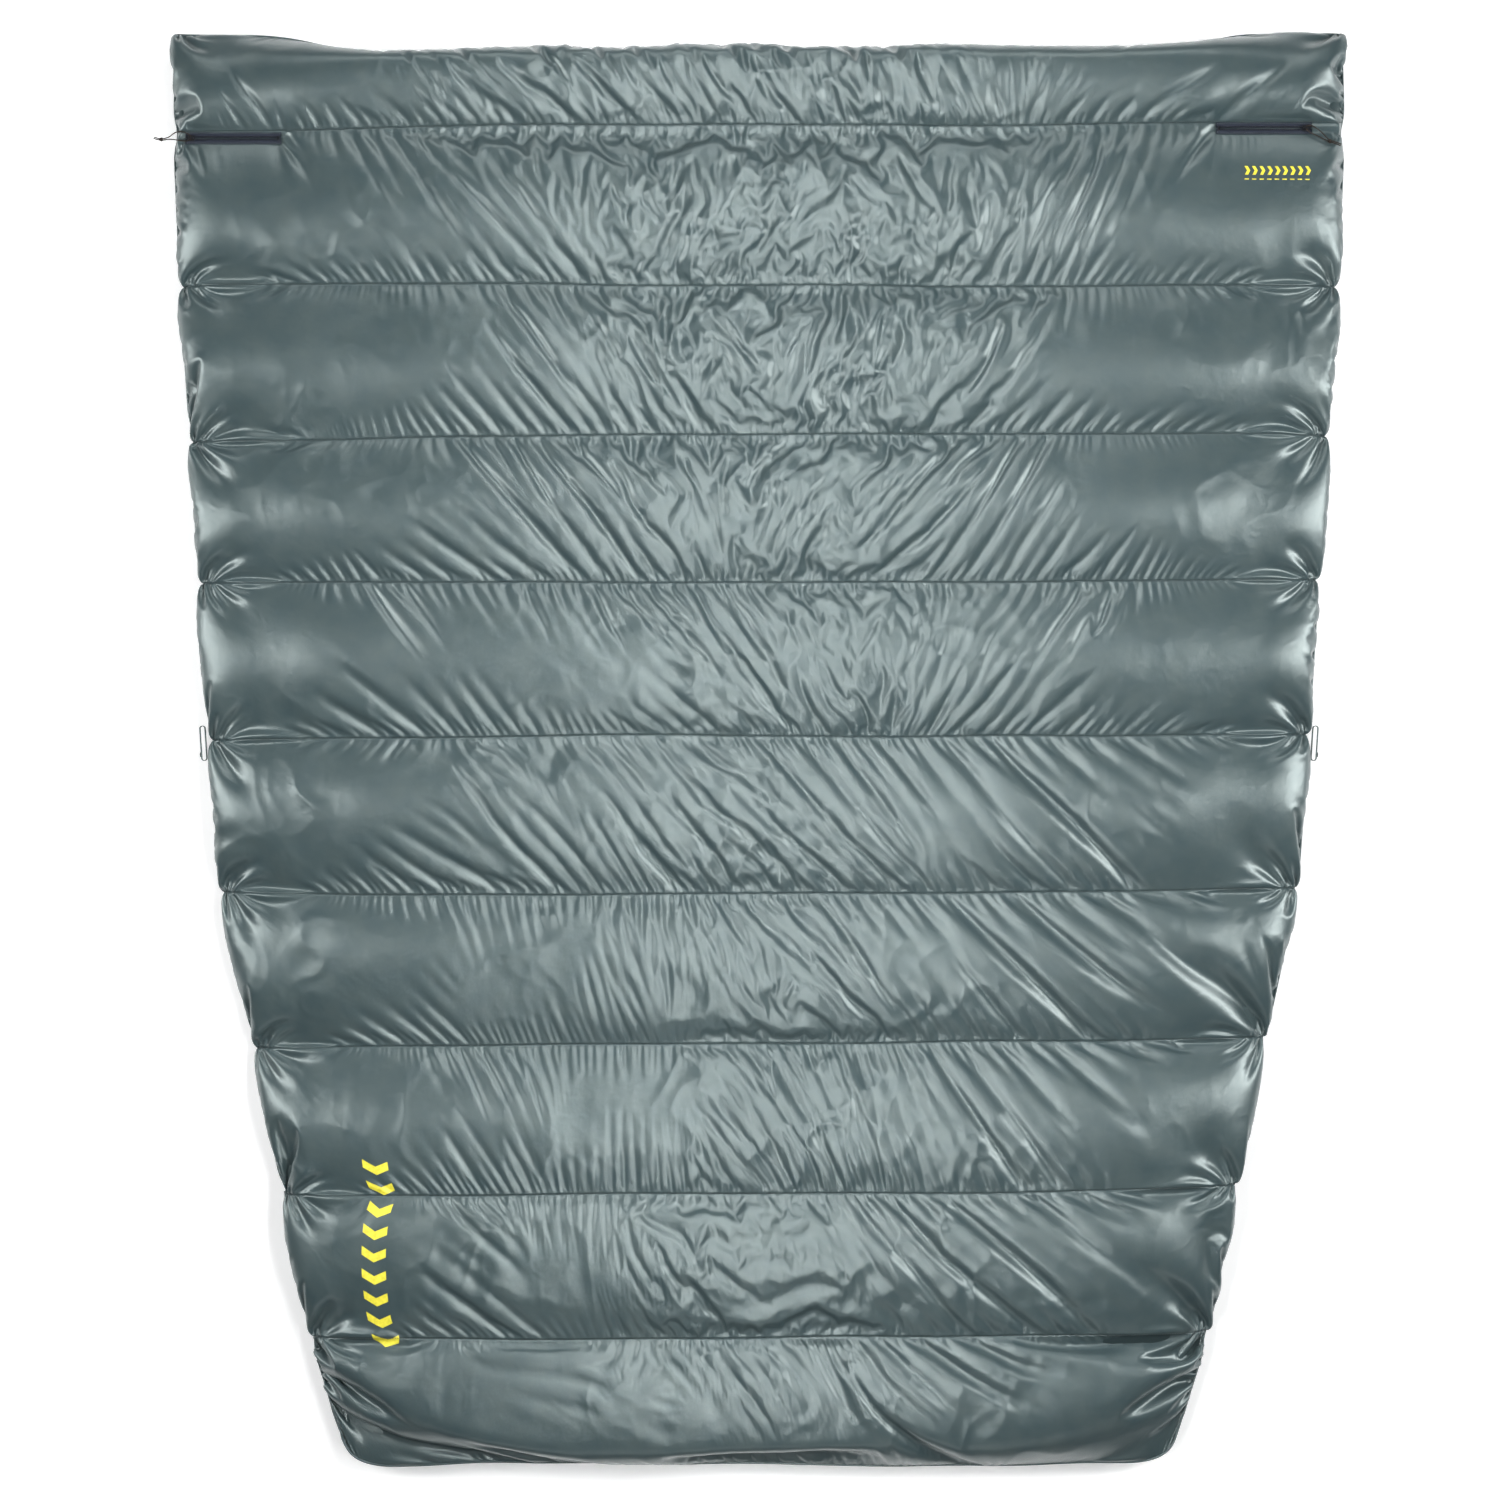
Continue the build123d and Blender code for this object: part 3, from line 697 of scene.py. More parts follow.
class Finish:
    """A node material, built up step by step."""

    def __init__(self, name, colour, **shader):
        self.made = bpy.data.materials.new(name)
        self.made.use_nodes = True
        self.nodes, self.links = self.made.node_tree.nodes, self.made.node_tree.links
        self.shader = self.nodes["Principled BSDF"]
        self.shader.inputs["Base Color"].default_value = (*colour, 1)
        for key, value in shader.items():
            self.shader.inputs[key.replace("_", " ")].default_value = value
        self.bump = None

    def add(self, kind, settings=None, **inputs):
        node = self.nodes.new(kind)
        for key, value in (settings or {}).items():
            setattr(node, key, value)
        for key, value in inputs.items():
            socket = node.inputs[key.replace("_", " ")]
            if isinstance(value, bpy.types.NodeSocket):
                self.links.new(value, socket)
            else:
                socket.default_value = value
        return node

    def place(self, scale=(1, 1, 1), cloth=True):
        """Coordinates in metres times scale: on the flat cloth, or in the object's own space."""
        if cloth:
            source = self.add("ShaderNodeAttribute", {"attribute_name": "cloth"}).outputs["Vector"]
        else:
            source = self.add("ShaderNodeTexCoord").outputs["Object"]
        return self.add("ShaderNodeMapping", Vector=source, Scale=scale).outputs["Vector"]

    def noise(self, where, scale, detail=3.0, roughness=0.5, kind="FBM", distortion=0.0):
        node = self.add("ShaderNodeTexNoise", {"noise_type": kind}, Vector=where, Scale=scale, Detail=detail,
                        Roughness=roughness, Distortion=distortion)
        return node.outputs["Fac"]

    def wave(self, where, scale, direction, distortion=0.0):
        node = self.add("ShaderNodeTexWave", {"bands_direction": direction}, Vector=where, Scale=scale,
                        Distortion=distortion)
        return node.outputs["Fac"]

    def spread(self, factor, low, high):
        """A factor from 0 to 1 spread from low to high."""
        return self.add("ShaderNodeMapRange", Value=factor, To_Min=low, To_Max=high).outputs["Result"]

    def colours(self, factor, *stops):
        """Colour from a ramp of (place, colour) stops."""
        ramp = self.add("ShaderNodeValToRGB", Fac=factor)
        elements = ramp.color_ramp.elements
        while len(elements) < len(stops):
            elements.new(0.5)
        for element, (at, colour) in zip(elements, stops):
            element.position, element.color = at, (*colour, 1)
        return ramp.outputs["Color"]

    def math(self, operation, a, b):
        node = self.nodes.new("ShaderNodeMath")
        node.operation = operation
        for socket, value in zip(node.inputs, (a, b)):
            if isinstance(value, bpy.types.NodeSocket):
                self.links.new(value, socket)
            else:
                socket.default_value = value
        return node.outputs[0]

    def raise_by(self, height, distance, strength=1.0):
        """Bump, over any bump added before it."""
        inputs = {"Height": height, "Distance": distance, "Strength": strength}
        if self.bump is not None:
            inputs["Normal"] = self.bump
        self.bump = self.add("ShaderNodeBump", **inputs).outputs["Normal"]
        self.links.new(self.bump, self.shader.inputs["Normal"])

    def feed(self, socket, value):
        self.links.new(value, self.shader.inputs[socket])


THREADS = 1100.0  # the weave's scale, in both directions


def taffeta(name, dark, light, roughness):
    """Thin glossy woven nylon: threads, slubs, fine crinkles and slightly uneven dye."""
    f = Finish(name, light, Roughness=roughness, Specular_IOR_Level=1.0, Specular_Tint=(0.89, 1.0, 0.98, 1.0),
               Sheen_Weight=0.05, Sheen_Roughness=0.4)
    cloth = f.place()
    blotch = f.noise(cloth, 26.0, 4.0, 0.6)
    f.feed("Base Color", f.colours(blotch, (0.30, dark), (0.70, light)))
    slub = f.spread(f.noise(f.place((260, 2600, 1)), 1.0, 2.0), roughness - 0.04, roughness + 0.05)
    f.feed("Roughness", f.math("ADD", f.spread(f.noise(cloth, 160.0, 3.0), -0.05, 0.05), slub))
    crinkle = f.noise(cloth, 55.0, 3.0, 0.55, "RIDGED_MULTIFRACTAL", 0.4)
    f.raise_by(crinkle, 0.0009, 0.35)
    f.raise_by(f.noise(cloth, 240.0, 3.0, 0.6), 0.0003, 0.35)
    weave = f.math("ADD", f.wave(cloth, THREADS, "X"), f.wave(cloth, THREADS, "Y"))
    f.raise_by(weave, 0.00004, 0.25)
    return f.made


def woven(name, dark, light, ribs, roughness=0.7):
    """Narrow woven tape: ribs across it, and a fibre grain."""
    f = Finish(name, light, Roughness=roughness, Specular_IOR_Level=0.3)
    where = f.place(cloth=False)
    rib = f.wave(where, ribs, "X", 0.6)
    shade = f.math("MULTIPLY", rib, f.noise(where, 900.0))
    f.feed("Base Color", f.colours(shade, (0.15, dark), (0.55, light)))
    f.raise_by(rib, 0.00015, 0.6)
    f.raise_by(f.noise(where, 3000.0), 0.0001, 0.5)
    return f.made


def plain(name, dark, light, roughness, grain=700.0, depth=0.00006, **shader):
    """Moulded or cast stuff: colour and gloss that vary a little, with a fine grain."""
    f = Finish(name, light, Roughness=roughness, **shader)
    where = f.place(cloth=False)
    f.feed("Base Color", f.colours(f.noise(where, grain * 0.4, 4.0), (0.3, dark), (0.7, light)))
    f.feed("Roughness", f.spread(f.noise(where, grain * 0.7), roughness - 0.08, roughness + 0.10))
    f.raise_by(f.noise(where, grain, 4.0), depth, 0.5)
    return f.made


SHELL = taffeta("shell_taffeta", (0.031, 0.052, 0.058), (0.047, 0.068, 0.070), 0.32)
LINING = taffeta("liner_taffeta", (0.040, 0.052, 0.058), (0.060, 0.074, 0.080), 0.42)
TAPE_CLOTH = woven("zip_tape_weave", (0.006, 0.009, 0.018), (0.020, 0.028, 0.050), 500.0)
COIL_NYLON = plain("coil_nylon", (0.006, 0.008, 0.014), (0.016, 0.021, 0.034), 0.38, Specular_IOR_Level=0.5)
METAL = plain("slider_enamel", (0.020, 0.021, 0.024), (0.040, 0.042, 0.047), 0.34, Metallic=0.85)
CORD = woven("cord_braid", (0.010, 0.007, 0.005), (0.040, 0.030, 0.022), 420.0, 0.75)
LOOP_TAPE = woven("loop_tape_weave", (0.085, 0.115, 0.115), (0.145, 0.185, 0.180), 330.0, 0.6)
SNAP = plain("snap_plastic", (0.012, 0.013, 0.014), (0.028, 0.030, 0.032), 0.32)
THREAD = plain("sewing_thread", (0.045, 0.062, 0.064), (0.085, 0.108, 0.110), 0.55, grain=1500.0)
SATIN = woven("label_satin", (0.62, 0.62, 0.60), (0.80, 0.80, 0.78), 800.0, 0.4)
INK = plain("print_ink", (0.62, 0.55, 0.035), (0.80, 0.72, 0.060), 0.45, grain=500.0)


def show(piece, slot, *stands_for, body=BODY):
    """Puts a piece on its body and hides the CAD nodes that it stands for; the slot argument is not used."""
    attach(piece, body)
    if stands_for:
        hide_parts(*stands_for)
    return piece


def build(name, parts, finish, slot, *stands_for, body=BODY):
    """One piece made from several (points, faces), and shown."""
    return show(mesh_object(name, *gather_meshes(parts), finish), slot, *stands_for, body=body)


# ---- pull cords: the camera and the cords come first ----

camera = put("camera", bpy.data.cameras.new("camera"))
camera.data.lens = 85
camera.data.sensor_width = 36
SEEN_WIDTH = 2.1  # how much the camera sees across, at the height given here
SEEN_HEIGHT = 0.045
camera.location = (-0.0126, -0.0035, SEEN_HEIGHT + SEEN_WIDTH * camera.data.lens / camera.data.sensor_width)
bpy.context.scene.camera = camera

# part.py's route points in millimetres from the slider's eye: outward, towards the head, up
LEGS = {
    ("left", "a"): (
        (0, 0, 0), (0, 2.0, 0), (1.7, 3.9, 0), (5.4, 6.4, 0.2), (11, 8.4, 0.5), (18, 8.8, 0.8),
        (24.5, 5.4, 1.0), (29, 1.3, 1.2), (34.6, -0.9, 1.3), (40.5, -1.9, 1.3), (46, -1.0, 1.3),
        (51, 0.9, 1.1)),
    ("left", "b"): (
        (0, 0, 0), (0, -1.9, 0), (1.9, -3.7, 0), (5.6, -4.6, 0.2), (11.5, -4.5, 0.5), (18, -3.6, 0.8),
        (24.5, -2.4, 1.0), (30, -2.2, 1.2), (35.6, -3.1, 1.3), (41.3, -3.8, 1.3), (46.8, -2.9, 1.3),
        (52, -0.9, 1.1)),
    ("right", "a"): (
        (0, 0, 0), (0, 2.0, 0), (2.1, 3.4, 0.3), (6.2, 3.0, 1.2), (11.5, 0.4, 2.5), (16.9, -4.0, 4.0),
        (22.6, -9.6, 5.8), (26.9, -15.1, 7.2), (31.4, -19.0, 8.1), (36.8, -20.6, 8.4), (42.4, -22.3, 8.4),
        (47.4, -24.6, 8.2)),
    ("right", "b"): (
        (0, 0, 0), (0, -2.0, 0), (1.4, -4.3, 0.5), (4.7, -7.0, 1.7), (9.6, -9.6, 3.2), (15.2, -12.3, 4.9),
        (20.8, -15.6, 6.4), (25.7, -18.4, 7.5), (30.6, -20.9, 8.1), (36.0, -22.5, 8.4), (41.5, -24.3, 8.4),
        (46.4, -26.7, 8.2)),
}
CORD_WIDTH, KNOT_CORD_R = 0.0016, 0.00082
EYE_OUT, EYE_DOWN = 0.001, 0.00245  # the eye from the middle and the top of its slider


def eye(side):
    """The middle of a slider's eye, where its cord goes through."""
    _, high, centre = corners(f"slider_{side}")
    return np.array([centre[0] + SIDES[side] * EYE_OUT, centre[1], high[2] - EYE_DOWN])


def from_eye(side, points):
    return eye(side) + np.asarray(points, float) * (SIDES[side] * 0.001, 0.001, 0.001)


def cord_leg(side, leg):
    """One leg of a pull cord, from the slider's eye to its tail."""
    curve = bpy.data.curves.new(f"pull_leg_{side}_{leg}", "CURVE")
    curve.dimensions = "3D"
    curve.bevel_depth = CORD_WIDTH / 2
    curve.bevel_resolution = 3
    curve.resolution_u = 10
    curve.use_fill_caps = True
    route = from_eye(side, LEGS[side, leg])
    line = curve.splines.new("NURBS")
    line.points.add(len(route) - 1)
    for point, at in zip(line.points, route):
        point.co = (*at, 1)
    line.order_u = 3
    line.use_endpoint_u = True
    curve.materials.append(CORD)
    return show(put(curve.name, curve), "pull_cord", f"pull_cord_{side}_{leg}", body=f"pull_{side}")


def knot(side):
    """An overhand knot drawn tight: the two legs turn round themselves and the last turn tucks under."""
    low, high, centre = corners(f"pull_knot_{side}")
    room = (high[0] - low[0]) / 2
    heading = from_eye(side, LEGS[side, "a"][-3]) - from_eye(side, LEGS[side, "a"][-6])
    heading /= np.linalg.norm(heading)
    across = np.cross(heading, [0, 0, 1.0])
    across /= np.linalg.norm(across)
    up = np.cross(across, heading)
    parts = []
    turn = np.linspace(0, 1, 70)
    for shift in (0.0, 0.5):
        angle = 2 * math.pi * (1.75 * turn + shift)
        round_it = room * (0.62 - 0.20 * np.abs(2 * turn - 1) ** 2)
        along = room * 0.62 * (2 * turn - 1) + room * 0.16 * np.sin(angle * 0.5)
        path = (centre + heading * along[:, None] + across * (np.cos(angle) * round_it)[:, None]
                + up * (np.sin(angle) * round_it * 0.86)[:, None])
        parts.append(sweep(path, circle(KNOT_CORD_R, 10)))
    return build(f"pull_overhand_{side}", parts, CORD, "pull_cord", f"pull_knot_{side}", body=f"pull_{side}")


for side in SIDES:
    tied = knot(side)
    for leg in ("a", "b"):
        piece = cord_leg(side, leg)

# ---- the outer fabric, cut into its ten sewn chambers ----

shell_points, shell, shell_u, shell_v = simulate_shell()
WALLS = 0.008  # how far each chamber's sewn edges reach down


def hidden_inside(c):
    """CAD nodes of the down and the baffle inside chamber c, which its fabric closes in."""
    nodes = [f"down_fill_{c + 1}"]
    if c < SEAMS:
        nodes.append(f"baffle_wall_{c + 1}")
    if c == 0:
        nodes.append("outer_shell")
    if c == 1:
        nodes += ["pocket_bag_left", "pocket_bag_right"]
    return nodes


for c in range(CHAMBERS):
    part = slice(shell.starts[c], shell.starts[c + 1] + 1)
    cloth = shell_u[part], shell_v[part]
    piece = pillow(f"shell_chamber_{c + 1}", shell_points[:, part], *cloth, WALLS, SHELL)
    show(piece, "shell_fabric", *hidden_inside(c))

# ---- the lining and the footbox, simulated on coarser grids ----

SETTLE_STEPS, SETTLE_SWEEPS, SETTLE_BEND = 70, 5, 0.06
PUFF = 0.00004


def rest_of(p, across, lengthwise):
    """Rest lengths measured on a starting surface, with extra fabric."""
    def far(a, b, extra):
        length = np.sqrt(((b - a) ** 2).sum(axis=0))
        share = np.broadcast_to(extra, p.shape[1:])[:length.shape[0], :length.shape[1]]
        return (length * (1 + share)).astype(np.float32)

    both = (np.asarray(across) + lengthwise) / 2
    rest = {"x": far(p[:, :, :-1], p[:, :, 1:], across), "y": far(p[:, :-1], p[:, 1:], lengthwise),
            "d": far(p[:, :-1, :-1], p[:, 1:, 1:], both), "u": far(p[:, 1:, :-1], p[:, :-1, 1:], both)}
    rest["xx"] = rest["x"][:, 1:] + rest["x"][:, :-1]
    rest["yy"] = rest["y"][1:] + rest["y"][:-1]
    return rest


def settle(p, fixed, across, lengthwise, strength, low, high, seed):
    """Cloth that puffs away from the quilt's middle, between a lower and an upper height."""
    rest = rest_of(p, across, lengthwise)
    p = p.astype(np.float32)
    noise = np.random.default_rng(seed).standard_normal(p.shape)
    p += np.where(fixed, 0, noise * 0.0004).astype(np.float32)

    def push(q):
        n = normals(q) * np.float32(strength)
        n[2] = np.clip(n[2], low - q[2], high - q[2])
        return n

    q = relax(p, rest, fixed, SETTLE_STEPS, SETTLE_SWEEPS, push, SETTLE_BEND)
    q[2] = np.where(fixed, q[2], np.clip(q[2], low, high))
    return q


LINING_LEVEL = 1
LINING_SAG = 0.0015
FLOOR_Z = 0.0006  # the lowest that any fabric lies
LINING_SEAM_Z = 0.009
MOUTH_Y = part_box("footbox_panel")[1][1]
RISE_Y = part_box("liner")[0][1]
CAVITY_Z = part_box("footbox_gusset_toe")[1][2]
PANEL_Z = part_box("footbox_lining_floor")[1][2]

under = Shell(LINING_LEVEL)
lining = under.start()
wide = half_width(lining[1]) - PERIMETER_IN
from_side = wide - np.abs(lining[0])
from_head = head_line(lining[0]) - lining[1]
edge = np.maximum(smooth(1 - from_side / 0.035), smooth(1 - from_head / 0.035))
ground = FLOOR_Z + (CAVITY_Z - FLOOR_Z) * smooth((RISE_Y - lining[1]) / (RISE_Y - MOUTH_Y))
to_seam = np.min([np.abs(lining[1] - seam_line(k, lining[0])) for k in range(SEAMS)], axis=0)
lining[2] = ground + (LINING_SEAM_Z - FLOOR_Z) * bell(to_seam, 0.014) * (lining[1] > RISE_Y)
lining[2] += (perimeter_z(lining[1]) - lining[2]) * edge
sewn = sewn_edges(lining.shape[1:])
sewn[under.seam_rows] = True
spare = 0.035 + 0.01 * blotches(lining[0], lining[1], 0.12, 41)
lining = settle(lining, sewn, spare, 0.03, -PUFF, np.maximum(ground - LINING_SAG, FLOOR_Z),
                np.maximum(ground + 0.022 * edge, 0.022) + 0.001, seed=8)
flat_u = (under.s * 0.85 + 0 * lining[1]).astype(np.float32)
flat_v = (1 - lining[1]).astype(np.float32)
cut = under.starts[7]
for name, part, nodes in (
    ("liner_body", slice(0, cut + 1), ["liner"]),
    ("liner_over_footbox", slice(cut, None), ["footbox_lining_top"]),
):
    piece = sheet_piece(name, lining[:, part], flat_u[part], flat_v[part], LINING, underside=True)
    show(piece, "liner_fabric", *nodes)

PANEL_WALL = 0.055  # fabric length of the panel's side and toe walls
MOUTH_R = PANEL_Z / 2 - 0.0008


def wall(a):
    """Inset from the outline and height, a along the fabric from the perimeter seam."""
    part = np.clip(a / PANEL_WALL, 0, 1)
    inset = PERIMETER_IN * (1 - np.sin(math.pi * part)) + 0.012 * smooth((part - 0.55) / 0.45)
    return inset + np.maximum(a - PANEL_WALL, 0), FOOT_PERIMETER_Z * (1 + np.cos(math.pi * part)) / 2


def panel_start(rows, columns):
    """The footbox's panel before it puffs: rolled over at its mouth, flat, and up its side and toe walls."""
    s = np.linspace(-1, 1, columns)[None, :]
    run = MOUTH_Y - FOOT_Y + PANEL_WALL - 0.012
    t = np.linspace(0, run + math.pi * MOUTH_R, rows)[:, None]
    toe_inset, toe_z = wall(t)
    y = FOOT_Y + toe_inset + 0 * s
    turned = np.clip((t - run) / MOUTH_R, 0, math.pi)
    y = np.where(t > run, MOUTH_Y - MOUTH_R + MOUTH_R * np.sin(turned), np.minimum(y, MOUTH_Y - MOUTH_R))
    width = half_width(y)
    side_inset, side_z = wall((1 - np.abs(s)) * (width + PANEL_WALL - 0.02))
    x = np.sign(s) * np.maximum(width - side_inset, 0)
    y = y + (foot_line(x) - FOOT_Y - 0.006) * smooth(1 - t / 0.20)
    lifted = MOUTH_R * (1 - np.cos(turned))
    z = np.maximum(np.maximum(side_z, toe_z), lifted) + FLOOR_Z
    return np.stack([x, y, z]), t, s


PANEL_ROWS, PANEL_COLUMNS = 130, 300
panel, t, s = panel_start(PANEL_ROWS, PANEL_COLUMNS)
sewn = sewn_edges(panel.shape[1:])
baffle_row = int(np.argmin(np.abs(panel[1][:, PANEL_COLUMNS // 2] - middle("footbox_baffle", 1))))
level = np.abs(panel[0][baffle_row]) < half_width(panel[1][baffle_row]) - 0.03
panel[2][baffle_row, level] += 0.007
sewn[baffle_row] = level
panel = settle(panel, sewn, 0.03, 0.035, -PUFF, FLOOR_Z, np.maximum(panel[2] + 0.004, 0.008), seed=9)
piece = sheet_piece("footbox_panel_shell", panel, s * 0.75 + 0 * t, t + 0 * s, SHELL)
piece.data.flip_normals()
show(piece, "shell_fabric", "footbox_panel", "footbox_fill_1", "footbox_fill_2", "footbox_baffle")

INNER_ROWS, INNER_COLUMNS = 90, 200
SIDE_GAP, TOE_GAP = 0.012, 0.014  # from the outline to the footbox's inside
RISE = 0.030  # the breadth of the slopes round it
t = np.linspace(0, 1, INNER_ROWS)[:, None]
s = np.linspace(-1, 1, INNER_COLUMNS)[None, :]
y = MOUTH_Y - MOUTH_R + (FOOT_Y + TOE_GAP - MOUTH_Y + MOUTH_R) * t + 0 * s
x = s * (half_width(y) - SIDE_GAP)
by_side = smooth(1 - (half_width(y) - SIDE_GAP - np.abs(x)) / RISE)
inner_edge = np.maximum(by_side, smooth(1 - (y - FOOT_Y - TOE_GAP) / RISE))
y = y + (foot_line(x) - FOOT_Y) * smooth((t - 0.6) / 0.4)
tub = np.stack([x, y, PANEL_Z + (CAVITY_Z - PANEL_Z - 0.001) * inner_edge])
tub = settle(tub, sewn_edges(tub.shape[1:]), 0.03, 0.03, 0.00003, PANEL_Z - 0.001,
             np.maximum(tub[2] + 0.003, PANEL_Z + 0.004), seed=10)
piece = sheet_piece("footbox_inner", tub, s * 0.75 + 0 * t, t * 0.4 + 0 * s, LINING)
gussets = [f"footbox_gusset_{place}" for place in ("toe", "left", "right")]
show(piece, "liner_fabric", "footbox_lining_floor", *gussets)

# ---- seams: a binding round the edge, and rows of stitches ----

BINDING_R = 0.0017
rim = [shell_points[:, 0, :], shell_points[:, 1:, -1]]
rim += [shell_points[:, -1, -2::-1], shell_points[:, -2:0:-1, 0]]
rim = np.concatenate(rim, axis=1)
points, faces = sweep(rim.T[::3], circle(BINDING_R, 8), closed=True)
show(mesh_object("edge_binding", points, faces, SHELL, flat=points), "shell_fabric")

THREAD_R, THREAD_SIDES = 0.00030, 5
STITCH_SHAPE = ((-0.5, 0.25), (-0.42, 0.8), (0.0, 1.0), (0.42, 0.8), (0.5, 0.25))  # place along it, thickness


def stitches(lines, pitch, length):
    """One small arched thread for each stitch along each line of points."""
    around = angles(THREAD_SIDES)
    parts = []
    for line in lines:
        far = np.concatenate([[0], np.cumsum(np.linalg.norm(np.diff(line, axis=0), axis=1))])
        at = np.arange(pitch / 2, far[-1], pitch)
        centre = np.stack([np.interp(at, far, line[:, k]) for k in range(3)], axis=-1)
        ahead = np.stack([np.interp(at + 0.001, far, line[:, k]) for k in range(3)], axis=-1)
        tangent = ahead - centre
        tangent /= np.linalg.norm(tangent, axis=1)[:, None] + 1e-12
        side = np.cross(tangent, [0, 0, 1.0])
        side /= np.linalg.norm(side, axis=1)[:, None] + 1e-12
        up = np.cross(side, tangent)
        rings = [
            centre + tangent * (a * length) + up * (fat * THREAD_R * 0.8)
            + side * (math.cos(w) * THREAD_R * fat) + up * (math.sin(w) * THREAD_R * fat)
            for a, fat in STITCH_SHAPE for w in around
        ]
        points = np.stack(rings, axis=1).reshape(-1, 3)
        i = np.arange(len(rings)).reshape(-1, THREAD_SIDES)
        step = (np.arange(len(at)) * len(rings))[:, None, None]
        faces = [(f[None] + step).reshape(-1, f.shape[1]) for f in tube_faces(i)]
        parts.append((points, faces))
    return parts


seam_paths = [shell_points[:, row, 4:-4].T.astype(float) for row in shell.seam_rows]
build("baffle_stitches", stitches(seam_paths, pitch=0.0036, length=0.0027), THREAD, "shell_fabric")

# ---- zips ----


SLOT = 0.0006  # half the gap between the two tapes
COIL_PITCH, WIRE_R = 0.00125, 0.00030
COIL_OUT = 0.00177  # a coil's middle from the zip's
COIL_DEEP, COIL_TALL = 0.00085, 0.00066  # half sizes
TAPE_SEAM, SEAM_INSIDE, SEAM_OUTSIDE = 0.0068, 0.0015, 0.001  # stitching, from the tape's middle and ends


def zip_pieces(side):
    """The tapes, coils and stitching of one zip."""
    low, high, (_, centre, _) = corners(f"zip_tape_{side}")
    coil_low, coil_high, (_, _, coil_z) = corners(f"zip_coil_{side}")
    reach = (high[1] - low[1]) / 2
    xs = np.arange(low[0], high[0] + 1e-6, 0.001)
    sway = 0.00018 * wander(xs, 0.012, 4, seed=51)
    turns = (coil_high[0] - coil_low[0] - 0.001) / COIL_PITCH
    a = np.linspace(0, 2 * math.pi * turns, int(turns * 12))
    halves, coils = [], []
    for hand in (-1, 1):
        path = np.stack([xs, centre + hand * (SLOT + reach) / 2 + sway, low[2] + 0.0003 + 0 * xs], axis=-1)
        halves.append(sweep(path, ribbon_outline(0.00055, reach - SLOT)))
        offset = 0.5 * COIL_PITCH if hand > 0 else 0
        path = np.stack([coil_low[0] + 0.0005 + a / (2 * math.pi) * COIL_PITCH + offset,
                         centre + hand * (COIL_OUT + COIL_DEEP * np.cos(a)),
                         coil_z + COIL_TALL * np.sin(a)], axis=-1)
        coils.append(sweep(path, circle(WIRE_R, 6)))
    build(f"zip_tape_woven_{side}", halves, TAPE_CLOTH, "zip_tape", f"zip_tape_{side}")
    build(f"zip_coil_wound_{side}", coils, COIL_NYLON, "zip_coil", f"zip_coil_{side}")
    sign = SIDES[side]
    inner, outer = (low[0], high[0]) if side == "right" else (high[0], low[0])
    inner, outer = inner + sign * SEAM_INSIDE, outer - sign * SEAM_OUTSIDE
    z = low[2] + 0.00058
    ends = [((outer, centre + dy, z), (inner, centre + dy, z)) for dy in (-TAPE_SEAM, TAPE_SEAM)]
    ends.append(((inner, centre - TAPE_SEAM + 0.0004, z), (inner, centre + TAPE_SEAM - 0.0004, z)))
    lines = [np.linspace(a, b, 60) for a, b in ends]
    build(f"zip_stitches_{side}", stitches(lines, pitch=0.0028, length=0.0021), THREAD, "zip_tape")


for side in SIDES:
    zip_pieces(side)
    for node in (f"slider_{side}", f"zip_stops_{side}"):
        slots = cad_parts[node].data.materials
        slots.clear()
        slots.append(METAL)

# ---- strap loops, snaps and the care label ----

LOOP_LONG, LOOP_DEEP, LOOP_THICK = 0.050, 0.0084, 0.0012
SNAP_FROM_END, SNAP_R, SNAP_T = 0.009, 0.0036, 0.0016
SNAP_PROFILE = ((0.05, 0.0), (1.0, 0.0), (1.0, 0.50), (0.93, 0.85), (0.80, 1.0), (0.62, 0.96), (0.52, 0.60),
                (0.30, 0.55), (0.05, 0.70))  # shares of the snap's radius and thickness
snaps = []
for side, sign in SIDES.items():
    low, high, centre = corners(f"strap_loop_{side}")
    slant = math.asin((high[0] - low[0] - LOOP_DEEP) / (LOOP_LONG - LOOP_DEEP)) * -sign
    cos, sin = math.cos(slant), math.sin(slant)
    turn = np.array([(cos, -sin, 0), (sin, cos, 0), (0, 0, 1)])
    radius = (LOOP_DEEP - LOOP_THICK) / 2
    straight = LOOP_LONG / 2 - LOOP_DEEP / 2
    bends = np.linspace(0, math.pi, 14)
    runs = np.linspace(-straight, straight, 24)[1:-1]
    ring = [(radius * math.cos(a), straight + radius * math.sin(a), 0) for a in bends]
    ring += [(-radius, y, 0) for y in runs[::-1]]
    ring += [(-radius * math.cos(a), -straight - radius * math.sin(a), 0) for a in bends]
    ring += [(radius, y, 0) for y in runs]
    ring = np.array(ring) @ turn.T + centre
    tape = sweep(ring, ribbon_outline(high[2] - low[2], LOOP_THICK * 0.92), closed=True)
    build(f"strap_loop_tape_{side}", [tape], LOOP_TAPE, "loop_tape", f"strap_loop_{side}")
    seat = turn @ np.array([sign * LOOP_DEEP / 2, SNAP_FROM_END - LOOP_LONG / 2, 0]) + centre
    profile = [(r * SNAP_R, h * SNAP_T) for r, h in SNAP_PROFILE]
    snaps.append(lathe(profile, seat, turn @ np.array([sign, 0, 0])))
build("loop_snap_caps", snaps, SNAP, "snap_plastic", "loop_snaps")

